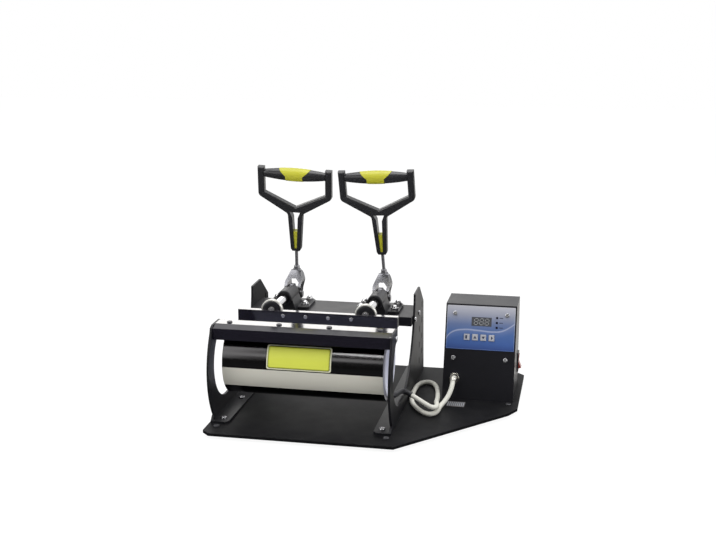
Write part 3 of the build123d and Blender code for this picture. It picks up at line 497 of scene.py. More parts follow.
SATIN = Finish("satin_chrome", (0.22, 0.22, 0.235), 0.2, Grain.BRUSHED, metallic=0.9,
               grain_depth=0.00001, tone=0.3, wear=0.5, wear_colour=(0.75, 0.75, 0.75), dust=0.02)
RIM = Finish("cap_rim", (0.80, 0.79, 0.73), 0.3, Grain.BRUSHED, metallic=0.6,
             grain_depth=0.00001, tone=0.04, wear=0.1, wear_colour=(0.9, 0.9, 0.9), dust=0.0)
ROD = Finish("drawn_rod", (0.46, 0.46, 0.48), 0.36, Grain.BRUSHED, metallic=0.8,
             grain_depth=0.00001, wear=0.2, wear_colour=(0.7, 0.7, 0.7))
STEEL = Finish("plain_steel", (0.42, 0.42, 0.43), 0.32, Grain.BRUSHED, metallic=1.0, wear=0.2)
NICKEL = Finish("nickel_plate", (0.85, 0.82, 0.74), 0.26, metallic=1.0, wear=0.2,
                wear_colour=(0.7, 0.68, 0.6))
# The jacket's finish paints a reflection strip along its lower front.
JACKET = JacketFinish("polished_jacket", (0.13, 0.13, 0.135), 0.16, Grain.BRUSHED, metallic=1.0,
                      grain_scale=900.0, grain_depth=0.000012, tone=0.06, wear=0.15,
                      wear_colour=(0.5, 0.5, 0.5), dust=0.02)
RUBBER = Finish("foot_rubber", (0.018, 0.018, 0.018), 0.75, Grain.MOULDED, wear=0.1)
BLACK_PLASTIC = Finish("black_moulding", (0.024, 0.024, 0.027), 0.33, Grain.MOULDED, coat=0.35,
                       grain_scale=1100.0, wear=0.25, wear_colour=(0.09, 0.09, 0.09))
YELLOW = Finish("yellow_moulding", (0.56, 0.545, 0.03), 0.34, Grain.MOULDED, grain_scale=900.0,
                tone=0.06, wear=0.2, wear_colour=(0.8, 0.75, 0.3))
ROCKER = Finish("rocker_moulding", (0.36, 0.055, 0.045), 0.26, Grain.MOULDED, coat=0.3, wear=0.1)
BUTTON = Finish("button_cap", (0.46, 0.47, 0.52), 0.42, Grain.MOULDED, wear=0.2,
                wear_colour=(0.7, 0.7, 0.7))
FILM_PRINT = FilmFinish("overlay_print", (0.06, 0.1, 0.33), 0.34, Grain.PLAIN, coat=0.3,
                        grain_depth=0.00001, wear=0.0, dust=0.02)
RIM_PRINT = FilmFinish(
    "rim_print", (0.2, 0.25, 0.4), 0.3, Grain.PLAIN, wear=0.0, dust=0.0,
    stops=((0.0, (0.08, 0.16, 0.42)), (0.5, (0.30, 0.37, 0.52)), (1.0, (0.66, 0.66, 0.68))))
PRINT_DARK = Finish("dark_print", (0.05, 0.06, 0.11), 0.4, Grain.PLAIN, wear=0.0)
PRINT_PALE = Finish("pale_print", (0.5, 0.53, 0.58), 0.4, Grain.PLAIN, wear=0.0)
WINDOW = Finish("display_window", (0.085, 0.088, 0.098), 0.22, Grain.PLAIN, coat=0.6,
                grain_depth=0.000004, wear=0.0)
SEGMENT = Finish("display_segment", (0.30, 0.31, 0.32), 0.35, Grain.PLAIN, wear=0.0)
LAMP = Finish("lamp_lens", (0.012, 0.010, 0.026), 0.15, Grain.PLAIN, coat=0.8,
              grain_depth=0.000004, wear=0.0)
BOARD = Finish("board_lacquer", (0.02, 0.12, 0.05), 0.35, Grain.PLAIN, wear=0.1)
FELT = Finish("insulating_felt", (0.50, 0.49, 0.52), 0.92, Grain.CLOTH, grain_scale=420.0,
              grain_depth=0.0004, tone=0.2, wear=0.0)
MAT = Finish("silicone_mat", (0.50, 0.50, 0.60), 0.5, Grain.CLOTH, grain_scale=800.0,
             grain_depth=0.00012, wear=0.0)
SLEEVE = Finish("shrink_sleeve", (0.016, 0.016, 0.02), 0.48, Grain.MOULDED,
                grain_depth=0.00006, wear=0.0)
BRAID = Finish("cream_braid", (0.86, 0.85, 0.77), 0.7, Grain.CLOTH, grain_scale=1600.0,
               grain_depth=0.0001, tone=0.1, wear=0.0, dust=0.0)
LABEL_FIELD = Finish("label_field", (0.74, 0.79, 0.085), 0.36, Grain.PLAIN, coat=0.2,
                     tone=0.05, wear=0.0)
LABEL_EDGE = Finish("label_edge", (0.85, 0.85, 0.60), 0.4, Grain.PLAIN, tone=0.05, wear=0.0)
LABEL_LINE = Finish("label_line", (0.16, 0.18, 0.03), 0.4, Grain.PLAIN, tone=0.05, wear=0.0)
STICKER = Finish("grey_sticker", (0.13, 0.12, 0.12), 0.5, Grain.PLAIN, wear=0.0)

SINGLE_FINISHES = {
    "base_plate": BASE_COAT, "front_bar": BAR_COAT, "clamp_shelf": BLACK_COAT,
    "rear_bar": BAR_COAT, "box_shell": BOX_COAT, "box_back_plate": BLACK_COAT,
    "rubber_feet": RUBBER, "foot_screws": BLACK_SCREW, "flange_screws": SOCKET_SCREW,
    "frame_screws": BRIGHT_SCREW, "front_bar_screws": BLACK_SCREW,
    "rear_bar_screws": SOCKET_SCREW, "panel_screws": BRIGHT_SCREW, "clamp_bolts": CHROME,
    "plunger_bolts": BRIGHT_SCREW, "plunger_caps": RIM, "pivot_pins": STEEL,
    "clevis_pins": STEEL, "jacket_front": JACKET, "jacket_rear": JACKET,
    "switch_bezel": BLACK_PLASTIC, "power_inlet": BLACK_PLASTIC, "relay_block": BLACK_PLASTIC,
    "overlay_panel": FILM_PRINT, "display_window": WINDOW, "led_lenses": LAMP,
    "cable_gland": NICKEL, "rocker_button": ROCKER, "control_board": BOARD,
}
SIDE_FINISHES = {
    "side_plate": PLATE_COAT, "plunger": CHROME, "yoke": SATIN, "lever_rod": ROD,
    "link": SATIN, "clamp_body": BLACK_CAST, "handle_frame": BLACK_PLASTIC,
    "grip_core": BLACK_PLASTIC, "grip_yellow": YELLOW, "stem_insert": YELLOW,
}


def add_mesh(name: str, points: list, faces: list[Face], finish: Finish, body: str,
             smooth: bool = True) -> bpy.types.Object:
    """Make a piece from points and faces.

    Args:
        name: name of the piece.
        points: corners in metres.
        faces: corner numbers of each face.
        finish: its surface.
        body: the body that it rides on.
        smooth: whether its faces are shaded smooth.

    Returns:
        The new object, riding on its body.
    """
    mesh = bpy.data.meshes.new(name)
    mesh.from_pydata([tuple(p) for p in points], [], faces)
    mesh.validate()
    mesh.update()
    for polygon in mesh.polygons:
        polygon.use_smooth = smooth
    mesh.materials.append(finish.build())
    piece = bpy.data.objects.new(name, mesh)
    bpy.context.scene.collection.objects.link(piece)
    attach(piece, body)
    log.info("%s: %d faces", name, len(faces))
    return piece


def ring_faces(rings: int, sides: int) -> list[Face]:
    """Join closed rings of points, one ring after the other.

    Args:
        rings: how many rings there are.
        sides: how many points each has.

    Returns:
        The quads between them.
    """
    return [(k * sides + i, k * sides + (i + 1) % sides,
             (k + 1) * sides + (i + 1) % sides, (k + 1) * sides + i)
            for k in range(rings - 1) for i in range(sides)]


def circle(steps: int) -> list[FlatPoint]:
    """Points of a circle of radius 1 at even turns."""
    return [(cos(2 * pi * i / steps), sin(2 * pi * i / steps)) for i in range(steps)]


def rounded_rectangle(width: float, height: float, radius: float,
                      steps: int = 6) -> list[FlatPoint]:
    """Outline of a rectangle with round corners.

    Args:
        width: size across.
        height: size up.
        radius: radius of the corners.
        steps: edges in each corner.

    Returns:
        Points anticlockwise about the middle.
    """
    corners = ((1, 1, 0), (-1, 1, 90), (-1, -1, 180), (1, -1, 270))
    outline = []
    for sx, sy, start in corners:
        cx, cy = sx * (width / 2 - radius), sy * (height / 2 - radius)
        for i in range(steps + 1):
            a = radians(start + 90 * i / steps)
            outline.append((cx + radius * cos(a), cy + radius * sin(a)))
    return outline


def plate_mesh(outline: list[FlatPoint], place: Callable[[float, float, float], Vector],
               thick: float) -> tuple[list[Vector], list[Face]]:
    """A thin plate with a softened rim.

    Args:
        outline: its outline in its own plane.
        place: function from (u, v, height) to a point.
        thick: its thickness.

    Returns:
        Points and faces.
    """
    n = len(outline)
    shoulder, face_scale = thick * 0.7, 0.985
    rings = ((1.0, 0.0), (1.0, shoulder), (face_scale, thick))
    points = [place(u * k, v * k, w) for k, w in rings for u, v in outline]
    faces = ring_faces(len(rings), n)
    faces.append(tuple(range((len(rings) - 1) * n, len(rings) * n)))
    faces.append(tuple(reversed(range(n))))
    return points, faces


def pointed_bar(length: float, thick: float, upright: bool) -> list[FlatPoint]:
    """A six-sided bar with pointed ends.

    Args:
        length: its length from point to point.
        thick: its width.
        upright: whether it stands instead of lying.

    Returns:
        Its outline about its own middle.
    """
    end, tip = length / 2, thick / 2
    lying = [(-end, 0.0), (tip - end, -tip), (end - tip, -tip),
             (end, 0.0), (end - tip, tip), (tip - end, tip)]
    return [(-y, x) for x, y in lying] if upright else lying


@dataclass
class ControlFace:
    """The leaning front of the control box and what is printed and set on it."""

    middle: float = 0.1465
    foot: float = 0.0307
    deck: float = 0.009
    tilt: float = atan2(36.3, 134.0)
    panel_low: float = 0.07303
    panel_high: float = 0.13653
    panel_width: float = 0.099
    panel_thick: float = 0.0006
    rim_inset: float = 0.0002
    rim_width: float = 0.0007
    rim_thick: float = 0.00012
    rim_corner: float = 0.0022
    button_first: float = -0.0195
    button_pitch: float = 0.012
    button_up: float = 0.09103
    button_top: float = 0.0018
    mark_thick: float = 0.00012
    display_across: float = 0.001
    display_up: float = 0.11403
    display_top: float = 0.0005
    digit_width: float = 0.0052
    digit_height: float = 0.0088
    digit_pitch: float = 0.0078
    digit_bar: float = 0.0011
    digit_lean: float = 0.1
    digit_thick: float = 0.00008
    tick_across: float = 0.0294
    tick_up: float = 0.0066
    tick_pitch: float = 0.0071
    tick_size: tuple[float, float, float] = (0.0052, 0.0013, 0.0003)
    tick_thick: float = 0.00006

    def on(self, u: float, v: float, w: float) -> Vector:
        """A point of the leaning front: across, up along it, out of it."""
        s, c = sin(self.tilt), cos(self.tilt)
        return Vector((self.middle + u, self.foot + v * s - w * c, self.deck + v * c + w * s))

    def patch(self, name: str, outline: list[FlatPoint], at: Point, thick: float,
              body: str) -> None:
        """Add a thin dark printed patch on the front.

        Args:
            name: name of the piece.
            outline: its outline about its own middle.
            at: its middle, across, up along the front and out of it.
            thick: its thickness.
            body: the body that it rides on.
        """
        points, faces = plate_mesh(
            outline, lambda u, v, w: self.on(at[0] + u, at[1] + v, at[2] + w), thick)
        add_mesh(name, points, faces, PRINT_DARK, body, smooth=False)

    def rim(self) -> None:
        """Add the pale line round the film's edge."""
        middle = (self.panel_low + self.panel_high) / 2
        width = self.panel_width - 2 * self.rim_inset
        height = self.panel_high - self.panel_low - 2 * self.rim_inset
        outer = rounded_rectangle(width, height, self.rim_corner)
        inner = rounded_rectangle(width - 2 * self.rim_width, height - 2 * self.rim_width,
                                  self.rim_corner - self.rim_width)
        base, top = self.panel_thick, self.panel_thick + self.rim_thick
        rings = ((outer, base), (outer, top), (inner, top), (inner, base))
        points = [self.on(u, middle + v, w) for ring, w in rings for u, v in ring]
        faces = ring_faces(len(rings), len(outer))
        add_mesh("overlay_rim", points, faces, RIM_PRINT, "frame", smooth=False)

    def digits(self) -> None:
        """Add three dim seven-bar digits in the window."""
        thick, half = self.digit_bar, self.digit_height / 2
        lying = pointed_bar(self.digit_width - thick, thick, upright=False)
        standing = pointed_bar(half - thick, thick, upright=True)
        sides = len(lying)
        points, faces = [], []
        for k in (-1, 0, 1):
            across = self.display_across + k * self.digit_pitch
            bars = [(across, s * half, lying) for s in (-1, 0, 1)]
            bars += [(across + sx * self.digit_width / 2, sy * half / 2, standing)
                     for sx in (-1, 1) for sy in (-1, 1)]
            for x, y, shape in bars:
                start = len(points)
                for level in (0.0, self.digit_thick):
                    points += [self.on(x + px + (y + py) * self.digit_lean,
                                       self.display_up + y + py, self.display_top + level)
                               for px, py in shape]
                faces.append(tuple(range(start + sides, start + 2 * sides)))
                faces += [tuple(start + i for i in face) for face in ring_faces(2, sides)]
        add_mesh("display_digits", points, faces, SEGMENT, "frame", smooth=False)

    def marks(self) -> None:
        """Add plain arrows and bars on the buttons, and ticks beside the lamps."""
        shapes = (
            [(-0.0022, -0.0024), (0.0006, -0.0024), (0.0006, 0.0024), (-0.0022, 0.0024)],
            [(-0.0024, -0.0018), (0.0024, -0.0018), (0.0, 0.0024)],
            [(-0.0024, 0.0018), (0.0, -0.0024), (0.0024, 0.0018)],
            [(-0.0006, -0.0026), (0.0022, 0.0), (-0.0006, 0.0026)],
        )
        for i, outline in enumerate(shapes):
            at = (self.button_first + i * self.button_pitch, self.button_up, self.button_top)
            self.patch(f"button_mark_{i + 1}", outline, at, self.mark_thick, f"key_{i + 1}")
        tick = rounded_rectangle(*self.tick_size, 3)
        for i in range(3):
            up = self.display_up + self.tick_up - self.tick_pitch * i
            self.patch(f"lamp_tick_{i + 1}", tick, (self.tick_across, up, self.panel_thick),
                       self.tick_thick, "frame")

    def build(self) -> None:
        """Make the rim, digits and marks."""
        self.rim()
        self.digits()
        self.marks()


@dataclass
class WrapLayer:
    """One soft layer of the wrap: a curved pad with rounded rims."""

    name: str
    node: str
    body: str
    finish: Finish
    inner: float
    outer: float
    start: float
    stop: float
    half_length: float
    straight_top: float | None = None
    slot: str = "felt"
    ribs: int = 0
    axis: tuple[float, float] = (-0.069, 0.087)
    middle_x: float = -0.078
    rim: float = 0.0012
    edge_soften: float = 0.0007
    rib_height: float = 0.00018
    rib_margin: float = 0.004
    degrees_per_step: float = 3.0
    fewest_steps: int = 8
    straight_steps: int = 6
    straightened_after: int = 2
    steps_along: int = 40
    first_station: float = 0.3

    def centre_line(self) -> list[tuple[Vector, Vector]]:
        """Lay out the layer's middle in YZ.

        Returns:
            Points from its start to its stop, each with its outward direction.
        """
        mid = (self.inner + self.outer) / 2
        steps = max(int(abs(self.stop - self.start) / self.degrees_per_step), self.fewest_steps)
        line = []
        for i in range(steps + 1):
            a = radians(self.start + (self.stop - self.start) * i / steps)
            out = Vector((0, cos(a), sin(a)))
            line.append((Vector((0, *self.axis)) + out * mid, out))
        if self.straight_top is not None:
            last, out = line[-1]
            flat = Vector((0, 1, 0))
            low = self.axis[1] + mid * sin(radians(self.stop))
            for i in range(1, self.straight_steps + 1):
                z = low + (self.straight_top - low) * i / self.straight_steps
                share = min(i / self.straightened_after, 1.0)
                turned = (out * (1 - share) + flat * share).normalized()
                line.append((Vector((0, last.y, z)), turned))
        return line

    def section(self, line: list[tuple[Vector, Vector]], x: float, edge: float) -> list[Vector]:
        """Points round the pad at one place along X.

        Args:
            line: the layer's middle with its outward directions.
            x: the place.
            edge: distance to the nearer end of the pad.

        Returns:
            The outer side from start to stop, then the inner side back.
        """
        half, last = (self.outer - self.inner) / 2, len(line) - 1
        sink = self.rim - sqrt(max(self.rim ** 2 - max(self.rim - edge, 0.0) ** 2, 0.0))
        ring = []
        for side, order in ((1, range(last + 1)), (-1, range(last, -1, -1))):
            for i in order:
                centre, out = line[i]
                soften = sink + (self.edge_soften if i in (0, last) else 0.0)
                swell = 0.0
                if self.ribs and side < 0 and edge > self.rib_margin:
                    swell = self.rib_height * (1 + cos(2 * pi * self.ribs * i / last))
                p = centre + out * side * (half - soften) + out * swell
                ring.append(Vector((x, p.y, p.z)))
        return ring

    def build(self) -> None:
        """Make the pad in place of its plain solid."""
        line = self.centre_line()
        start, length = self.middle_x - self.half_length, 2 * self.half_length
        ends = [0.0, self.rim * self.first_station, self.rim]
        plain = length - 2 * self.rim
        stations = ends + [self.rim + plain * i / self.steps_along
                           for i in range(1, self.steps_along)]
        stations += [length - d for d in reversed(ends)]
        points = [p for d in stations for p in self.section(line, start + d, min(d, length - d))]
        n, ring = len(line), 2 * len(line)
        faces = ring_faces(len(stations), ring)
        for base, flip in ((0, False), ((len(stations) - 1) * ring, True)):
            for i in range(n - 1):
                quad = (base + i, base + ring - 1 - i, base + ring - 2 - i, base + i + 1)
                faces.append(tuple(reversed(quad)) if flip else quad)
        piece = add_mesh(self.name, points, faces, self.finish, self.body)
        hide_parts(self.node)


@dataclass
class Wrap:
    """The soft layers of both halves of the heater wrap, and the plate on the jacket."""

    axis: tuple[float, float] = (-0.069, 0.087)
    jacket_radius: float = 0.050
    felt_radii: tuple[float, float] = (0.04285, 0.04885)
    mat_radii: tuple[float, float] = (0.0387, 0.0427)
    felt_half_length: float = 0.111
    mat_half_length: float = 0.1135
    mat_ribs: int = 9
    seam_gap: float = 0.0010
    front_turn: float = 118.5
    rear_turn: float = 23.2
    rear_top: float = 0.1153
    label_middle: float = -0.082
    label_size: tuple[float, float] = (0.090, 0.034)
    label_angle: float = 160.0
    label_thick: float = 0.0008
    label_corner: float = 0.0022
    label_lift: float = 0.00005
    label_grid: tuple[int, int] = (44, 22)

    def soft_layers(self) -> None:
        """Make the felt and mat of the front and the rear half."""
        seam = degrees(asin(self.seam_gap / 2 / self.mat_radii[0]))
        halves = (("front", "frame", self.front_turn, 270 - seam, None),
                  ("rear", "jaw", seam - 90, self.rear_turn, self.rear_top))
        for half, body, start, stop, top in halves:
            WrapLayer(f"soft_felt_{half}", f"felt_{half}", body, FELT, *self.felt_radii, start,
                      stop, self.felt_half_length, top).build()
            WrapLayer(f"heater_mat_{half}", f"mat_{half}", body, MAT, *self.mat_radii, start,
                      stop, self.mat_half_length, top, slot="silicone_mat",
                      ribs=self.mat_ribs).build()

    def on_jacket(self, u: float, v: float, w: float) -> Vector:
        """Find a point on the jacket.

        Args:
            u: distance along X from the plate's middle.
            v: distance up round the jacket from it.
            w: height above the jacket.

        Returns:
            The point.
        """
        a = radians(self.label_angle) - v / self.jacket_radius
        r = self.jacket_radius + self.label_lift + w
        return Vector((self.label_middle + u, self.axis[0] + r * cos(a),
                       self.axis[1] + r * sin(a)))

    def bent_sheet(self, inset: float, low: float, high: float) -> tuple[list[Vector], list[Face]]:
        """A sheet with round corners that lies on the jacket.

        Args:
            inset: how far its edge stands inside the plate's edge.
            low: height of its underside above the jacket.
            high: height of its face above the jacket.

        Returns:
            Points and faces.
        """
        width, height = self.label_size[0] - 2 * inset, self.label_size[1] - 2 * inset
        columns, rows = self.label_grid
        corner = self.label_corner
        points, faces = [], []
        for level in (low, high):
            for j in range(rows + 1):
                v = -height / 2 + height * j / rows
                past = max(abs(v) - (height / 2 - corner), 0.0)
                half = width / 2 - corner + sqrt(max(corner ** 2 - past ** 2, 0.0))
                points += [self.on_jacket(-half + 2 * half * i / columns, v, level)
                           for i in range(columns + 1)]
        row = columns + 1
        layer = row * (rows + 1)
        for j in range(rows):
            for i in range(columns):
                a = j * row + i
                faces.append((a + layer, a + 1 + layer, a + row + 1 + layer, a + row + layer))
                faces.append((a, a + row, a + row + 1, a + 1))
        rim = list(range(row)) + [j * row + columns for j in range(1, rows + 1)]
        rim += [rows * row + i for i in range(columns - 1, -1, -1)]
        rim += [j * row for j in range(rows - 1, 0, -1)]
        faces += [(a, b, b + layer, a + layer) for a, b in zip(rim, rim[1:] + rim[:1])]
        return points, faces

    def label(self) -> None:
        """Add the bare coloured plate: a pale rim, a thin line and a plain field."""
        thick = self.label_thick
        sheets = (
            ("jacket_plate", 0.0, 0.0, 0.70, LABEL_EDGE),
            ("jacket_plate_line", 0.0016, 0.70, 0.82, LABEL_LINE),
            ("jacket_plate_field", 0.0022, 0.82, 0.94, LABEL_FIELD),
        )
        for name, inset, low, high, finish in sheets:
            points, faces = self.bent_sheet(inset, thick * low, thick * high)
            piece = add_mesh(name, points, faces, finish, "frame")
            if inset == 0.0:
                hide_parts("label_plate")

    def build(self) -> None:
        """Make the soft layers and the plate."""
        self.soft_layers()
        self.label()


def spline_points(route: list[Point]) -> list[Vector]:
    """Points along the smooth line that a route controls.

    Args:
        route: control points in metres.

    Returns:
        Points of the line in metres.
    """
    curve = bpy.data.curves.new("route_line", "CURVE")
    curve.dimensions = "3D"
    curve.resolution_u = 10
    line = curve.splines.new("NURBS")
    line.points.add(len(route) - 1)
    for point, at in zip(line.points, route):
        point.co = (*at, 1.0)
    line.order_u = 3
    line.use_endpoint_u = True
    holder = bpy.data.objects.new("route_line", curve)
    bpy.context.scene.collection.objects.link(holder)
    bpy.context.view_layer.update()
    mesh = bpy.data.meshes.new_from_object(holder)
    points = [v.co.copy() for v in mesh.vertices]
    bpy.data.objects.remove(holder)
    bpy.data.curves.remove(curve)
    bpy.data.meshes.remove(mesh)
    return points


def even_points(points: list[Vector], step: float) -> list[Vector]:
    """The same line at even steps.

    Args:
        points: points of the line.
        step: distance between the new points.

    Returns:
        The new points, with the line's own last point.
    """
    shortest_end = 0.4 * step
    even = [points[0]]
    left = step
    for a, b in zip(points, points[1:]):
        run = (b - a).length
        while run > 0 and left <= run:
            even.append(a + (b - a) * (left / run))
            left += step
        left -= run
    if (points[-1] - even[-1]).length < shortest_end:
        even.pop()
    return even + [points[-1]]


def line_length(points: list[Vector]) -> float:
    """Length of a line of points."""
    return sum((b - a).length for a, b in zip(points, points[1:]))


@dataclass
class HeaterLead:
    """The braided lead with its loop on the base, and the black sleeve into the wrap."""

    radius: float = 0.00345
    sleeve_radius: float = 0.0038
    lie: float = 0.01250
    over: float = 0.01985
    length: float = 0.43
    gland_across: float = -0.0343
    gland_up: float = 0.031
    gland_mouth: float = 0.011
    gland_clear: float = 0.0175
    sides: int = 24
    strand_pairs: int = 6
    braid_pitch: float = 0.0085
    braid_depth: float = 0.00028
    step: float = 0.0007
    sleeve_step: float = 0.0015
    sleeve_overlap: float = 0.8
    ferrule_from: int = 8
    ferrule_aim: int = 18
    ferrule_turns: int = 36
    ferrule_profile: tuple[FlatPoint, ...] = (
        (0.0, 0.1), (0.2, 0.9), (0.9, 1.35), (2.0, 1.4), (2.6, 0.9), (3.6, 0.8), (4.4, 1.2),
        (5.2, 1.15), (5.7, 0.1),
    )
    route: list[Point] = field(default_factory=list)
    sleeve_route: list[Point] = field(default_factory=list)

    def __post_init__(self) -> None:
        """Lay out the two routes, whose own points are in millimetres."""
        face = ControlFace()
        lie, over = self.lie / MM, self.over / MM
        mouth, lead_out = (face.on(self.gland_across, self.gland_up, w)
                           for w in (self.gland_mouth, self.gland_clear))
        floor_points = [
            (111.9, 13.5, 35.2), (110.0, 7.5, 28.0), (107.0, 1.5, 21.6), (102.5, -6.5, 16.0),
            (98.2, -18.0, lie + 0.6), (97.5, -31.0, lie), (95.8, -42.5, lie), (89.0, -50.0, lie),
            (80.0, -46.5, lie), (71.5, -35.0, lie), (63.3, -22.5, lie), (57.3, -8.0, lie),
            (53.6, 9.0, lie), (52.0, 29.0, lie), (51.9, 50.0, lie), (53.0, 69.0, lie),
            (58.0, 83.5, lie), (67.0, 89.5, lie), (76.0, 83.0, lie), (82.5, 67.5, lie),
            (86.6, 48.0, lie), (89.3, 28.0, lie), (90.8, 9.0, lie + 0.4), (91.6, -7.0, lie + 3.2),
            (94.0, -21.0, over), (96.4, -34.0, over + 0.8), (96.6, -44.5, over + 1.8),
            (90.5, -50.0, over + 3.0), (81.8, -43.5, over + 4.8), (73.6, -37.2, over + 6.9),
            (66.2, -31.9, over + 9.0), (60.0, -28.0, over + 11.0),
        ]
        rise = [
            (49.2, -25.2, over + 15.0), (45.6, -29.6, over + 17.0), (44.4, -37.0, over + 18.8),
            (43.9, -47.5, over + 20.8), (43.4, -59.0, over + 23.0), (43.2, -69.0, over + 25.0),
            (41.4, -77.5, over + 26.4), (35.5, -80.0, over + 26.4),
        ]
        floor_run, sleeve_run = ([tuple(c * MM for c in p) for p in run]
                                 for run in (floor_points, rise))
        self.route = [tuple(mouth), tuple(lead_out)] + floor_run
        end, before = Vector(self.route[-1]), Vector(self.route[-2])
        first = end + (end - before) * self.sleeve_overlap
        self.sleeve_route = [tuple(end), tuple(first)] + sleeve_run

    def tube(self, name: str, line: list[Vector], radius: float, finish: Finish,
             braid: float) -> bpy.types.Object:
        """A round tube along a line.

        Args:
            name: name of the piece.
            line: even points along its middle.
            radius: outer radius.
            finish: its surface.
            braid: depth of the crossing strands, 0 for a plain skin.

        Returns:
            The tube.
        """
        sides, last = self.sides, len(line) - 1
        points = []
        travel = (line[1] - line[0]).normalized()
        side = travel.orthogonal().normalized()
        gone = 0.0
        for k, centre in enumerate(line):
            new_travel = (line[min(k + 1, last)] - line[max(k - 1, 0)]).normalized()
            side = travel.rotation_difference(new_travel) @ side
            travel = new_travel
            up = travel.cross(side).normalized()
            if k:
                gone += (centre - line[k - 1]).length
            twist = gone / self.braid_pitch * 2 * pi
            for i in range(sides):
                a = 2 * pi * i / sides
                strands = self.strand_pairs * a
                pattern = cos(strands + twist) * cos(strands - twist)
                r = radius - braid * (0.5 - 0.5 * pattern)
                points.append(centre + (side * cos(a) + up * sin(a)) * r)
        faces = ring_faces(len(line), sides)
        faces.append(tuple(reversed(range(sides))))
        faces.append(tuple(range(last * sides, (last + 1) * sides)))
        return add_mesh(name, points, faces, finish, "frame")

    def ferrule(self, line: list[Vector]) -> None:
        """Add the bright lipped ferrule that holds the lead's first few millimetres.

        Args:
            line: even points along the lead's middle.
        """
        start = line[self.ferrule_from]
        travel = (line[self.ferrule_aim] - start).normalized()
        side = travel.orthogonal().normalized()
        up = travel.cross(side)
        points = [start + travel * along * MM + (side * c + up * s) * (self.radius + out * MM)
                  for along, out in self.ferrule_profile for c, s in circle(self.ferrule_turns)]
        faces = ring_faces(len(self.ferrule_profile), self.ferrule_turns)
        add_mesh("lead_ferrule", points, faces, NICKEL, "frame")

    def build(self) -> None:
        """Make the lead and its sleeve."""
        line = spline_points(self.route)
        even = even_points(line, self.step)
        lead = self.tube("braided_lead", even, self.radius, BRAID, self.braid_depth)
        self.ferrule(even)
        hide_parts("heater_cable")
        sleeve_line = even_points(spline_points(self.sleeve_route), self.sleeve_step)
        sleeve = self.tube("lead_shrink_sleeve", sleeve_line, self.sleeve_radius, SLEEVE, 0.0)
        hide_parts("lead_sleeve")
        log.info("lead %.4f m, sleeve %.4f m", line_length(line), line_length(sleeve_line))
        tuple(self.route[0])


@dataclass
class Clamps:
    """Small turned parts on the toggle clamps."""

    middle: float = -0.078
    spacing: float = 0.1372
    cap_front: float = -0.017
    cap_height: float = 0.1414
    disc_turns: int = 40
    disc_profile: tuple[FlatPoint, ...] = (
        (0.0052, 0.0008), (0.0066, 0.0012), (0.0110, 0.0011), (0.0127, 0.0006), (0.0137, 0.0),
    )

    def cap_disc(self, name: str, side: int) -> None:
        """Add the black dished disc on the front of a plunger cap.

        Args:
            name: name of the piece.
            side: -1 for the left clamp, 1 for the right one.
        """
        x = self.middle + side * self.spacing / 2
        points = [(x + r * c, self.cap_front - out, self.cap_height + r * s)
                  for r, out in self.disc_profile for c, s in circle(self.disc_turns)]
        faces = ring_faces(len(self.disc_profile), self.disc_turns)
        add_mesh(name, points, faces, BLACK_CAST, "jaw")

    def build(self) -> None:
        """Make both discs."""
        self.cap_disc("cap_disc_left", -1)
        self.cap_disc("cap_disc_right", 1)


@dataclass
class BaseSticker:
    """The small ribbed grey patch on the base in front of the control box."""

    left: float = 0.105
    right: float = 0.131
    front: float = -0.002
    back: float = 0.019
    corner: float = 0.001
    deck: float = 0.009
    thick: float = 0.0002
    bars: int = 9
    bar_first: float = 0.7
    bar_spaces: float = 9.4
    bar_width: float = 0.0011
    bar_share: float = 0.8
    bar_corner: float = 0.0003
    bar_thick: float = 0.00015

    def patch(self, name: str, outline: list[FlatPoint], x: float, lift: float, thick: float,
              finish: Finish) -> None:
        """Add one flat patch on the deck.

        Args:
            name: name of the piece.
            outline: its outline about its own middle.
            x: its middle along X.
            lift: height of its underside above the deck.
            thick: its thickness.
            finish: its surface.
        """
        y, z = (self.front + self.back) / 2, self.deck + lift
        points, faces = plate_mesh(outline, lambda u, v, w: Vector((x + u, y + v, z + w)), thick)
        add_mesh(name, points, faces, finish, "frame", smooth=False)

    def build(self) -> None:
        """Make the patch with its plain raised bars."""
        width, depth = self.right - self.left, self.back - self.front
        self.patch("base_patch", rounded_rectangle(width, depth, self.corner, 3),
                   (self.left + self.right) / 2, 0.0, self.thick, STICKER)
        bar = rounded_rectangle(self.bar_width, depth * self.bar_share, self.bar_corner, 2)
        for k in range(self.bars):
            x = self.left + width * (k + self.bar_first) / self.bar_spaces
            self.patch(f"base_patch_bar_{k + 1}", bar, x, self.thick, self.bar_thick, PRINT_PALE)


@dataclass
class Dresser:
    """Gives every node of the model that stays its finish."""

    finishes: dict[str, Finish] = field(default_factory=lambda: dict(SINGLE_FINISHES))
    buttons: int = 4

    def __post_init__(self) -> None:
        """Add the pieces that come in pairs and the buttons."""
        for name, finish in SIDE_FINISHES.items():
            self.finishes |= {f"{name}_left": finish, f"{name}_right": finish}
        for i in range(self.buttons):
            self.finishes[f"button_{i + 1}"] = BUTTON

    def build(self) -> None:
        """Assign the materials."""
        for name, finish in self.finishes.items():
            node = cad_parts[name]
            if not node.material_slots:
                node.data.materials.append(finish.build())
            for slot in node.material_slots:
                slot.material = finish.build()
            log.info("%s: %s", name, finish.name)


@dataclass(frozen=True)
class Lamp:
    """A soft rectangular lamp aimed at a point."""

    name: str
    at: Point
    target: Point
    size: tuple[float, float]
    watts: float

    def build(self) -> None:
        """Set up the lamp."""
        data = bpy.data.lights.new(self.name, "AREA")
        data.shape = "RECTANGLE"
        data.size, data.size_y = self.size
        data.energy = self.watts
        lamp = bpy.data.objects.new(self.name, data)
        bpy.context.scene.collection.objects.link(lamp)
        lamp.location = self.at
        aim = Vector(self.target) - Vector(self.at)
        lamp.rotation_euler = aim.to_track_quat("-Z", "Y").to_euler()


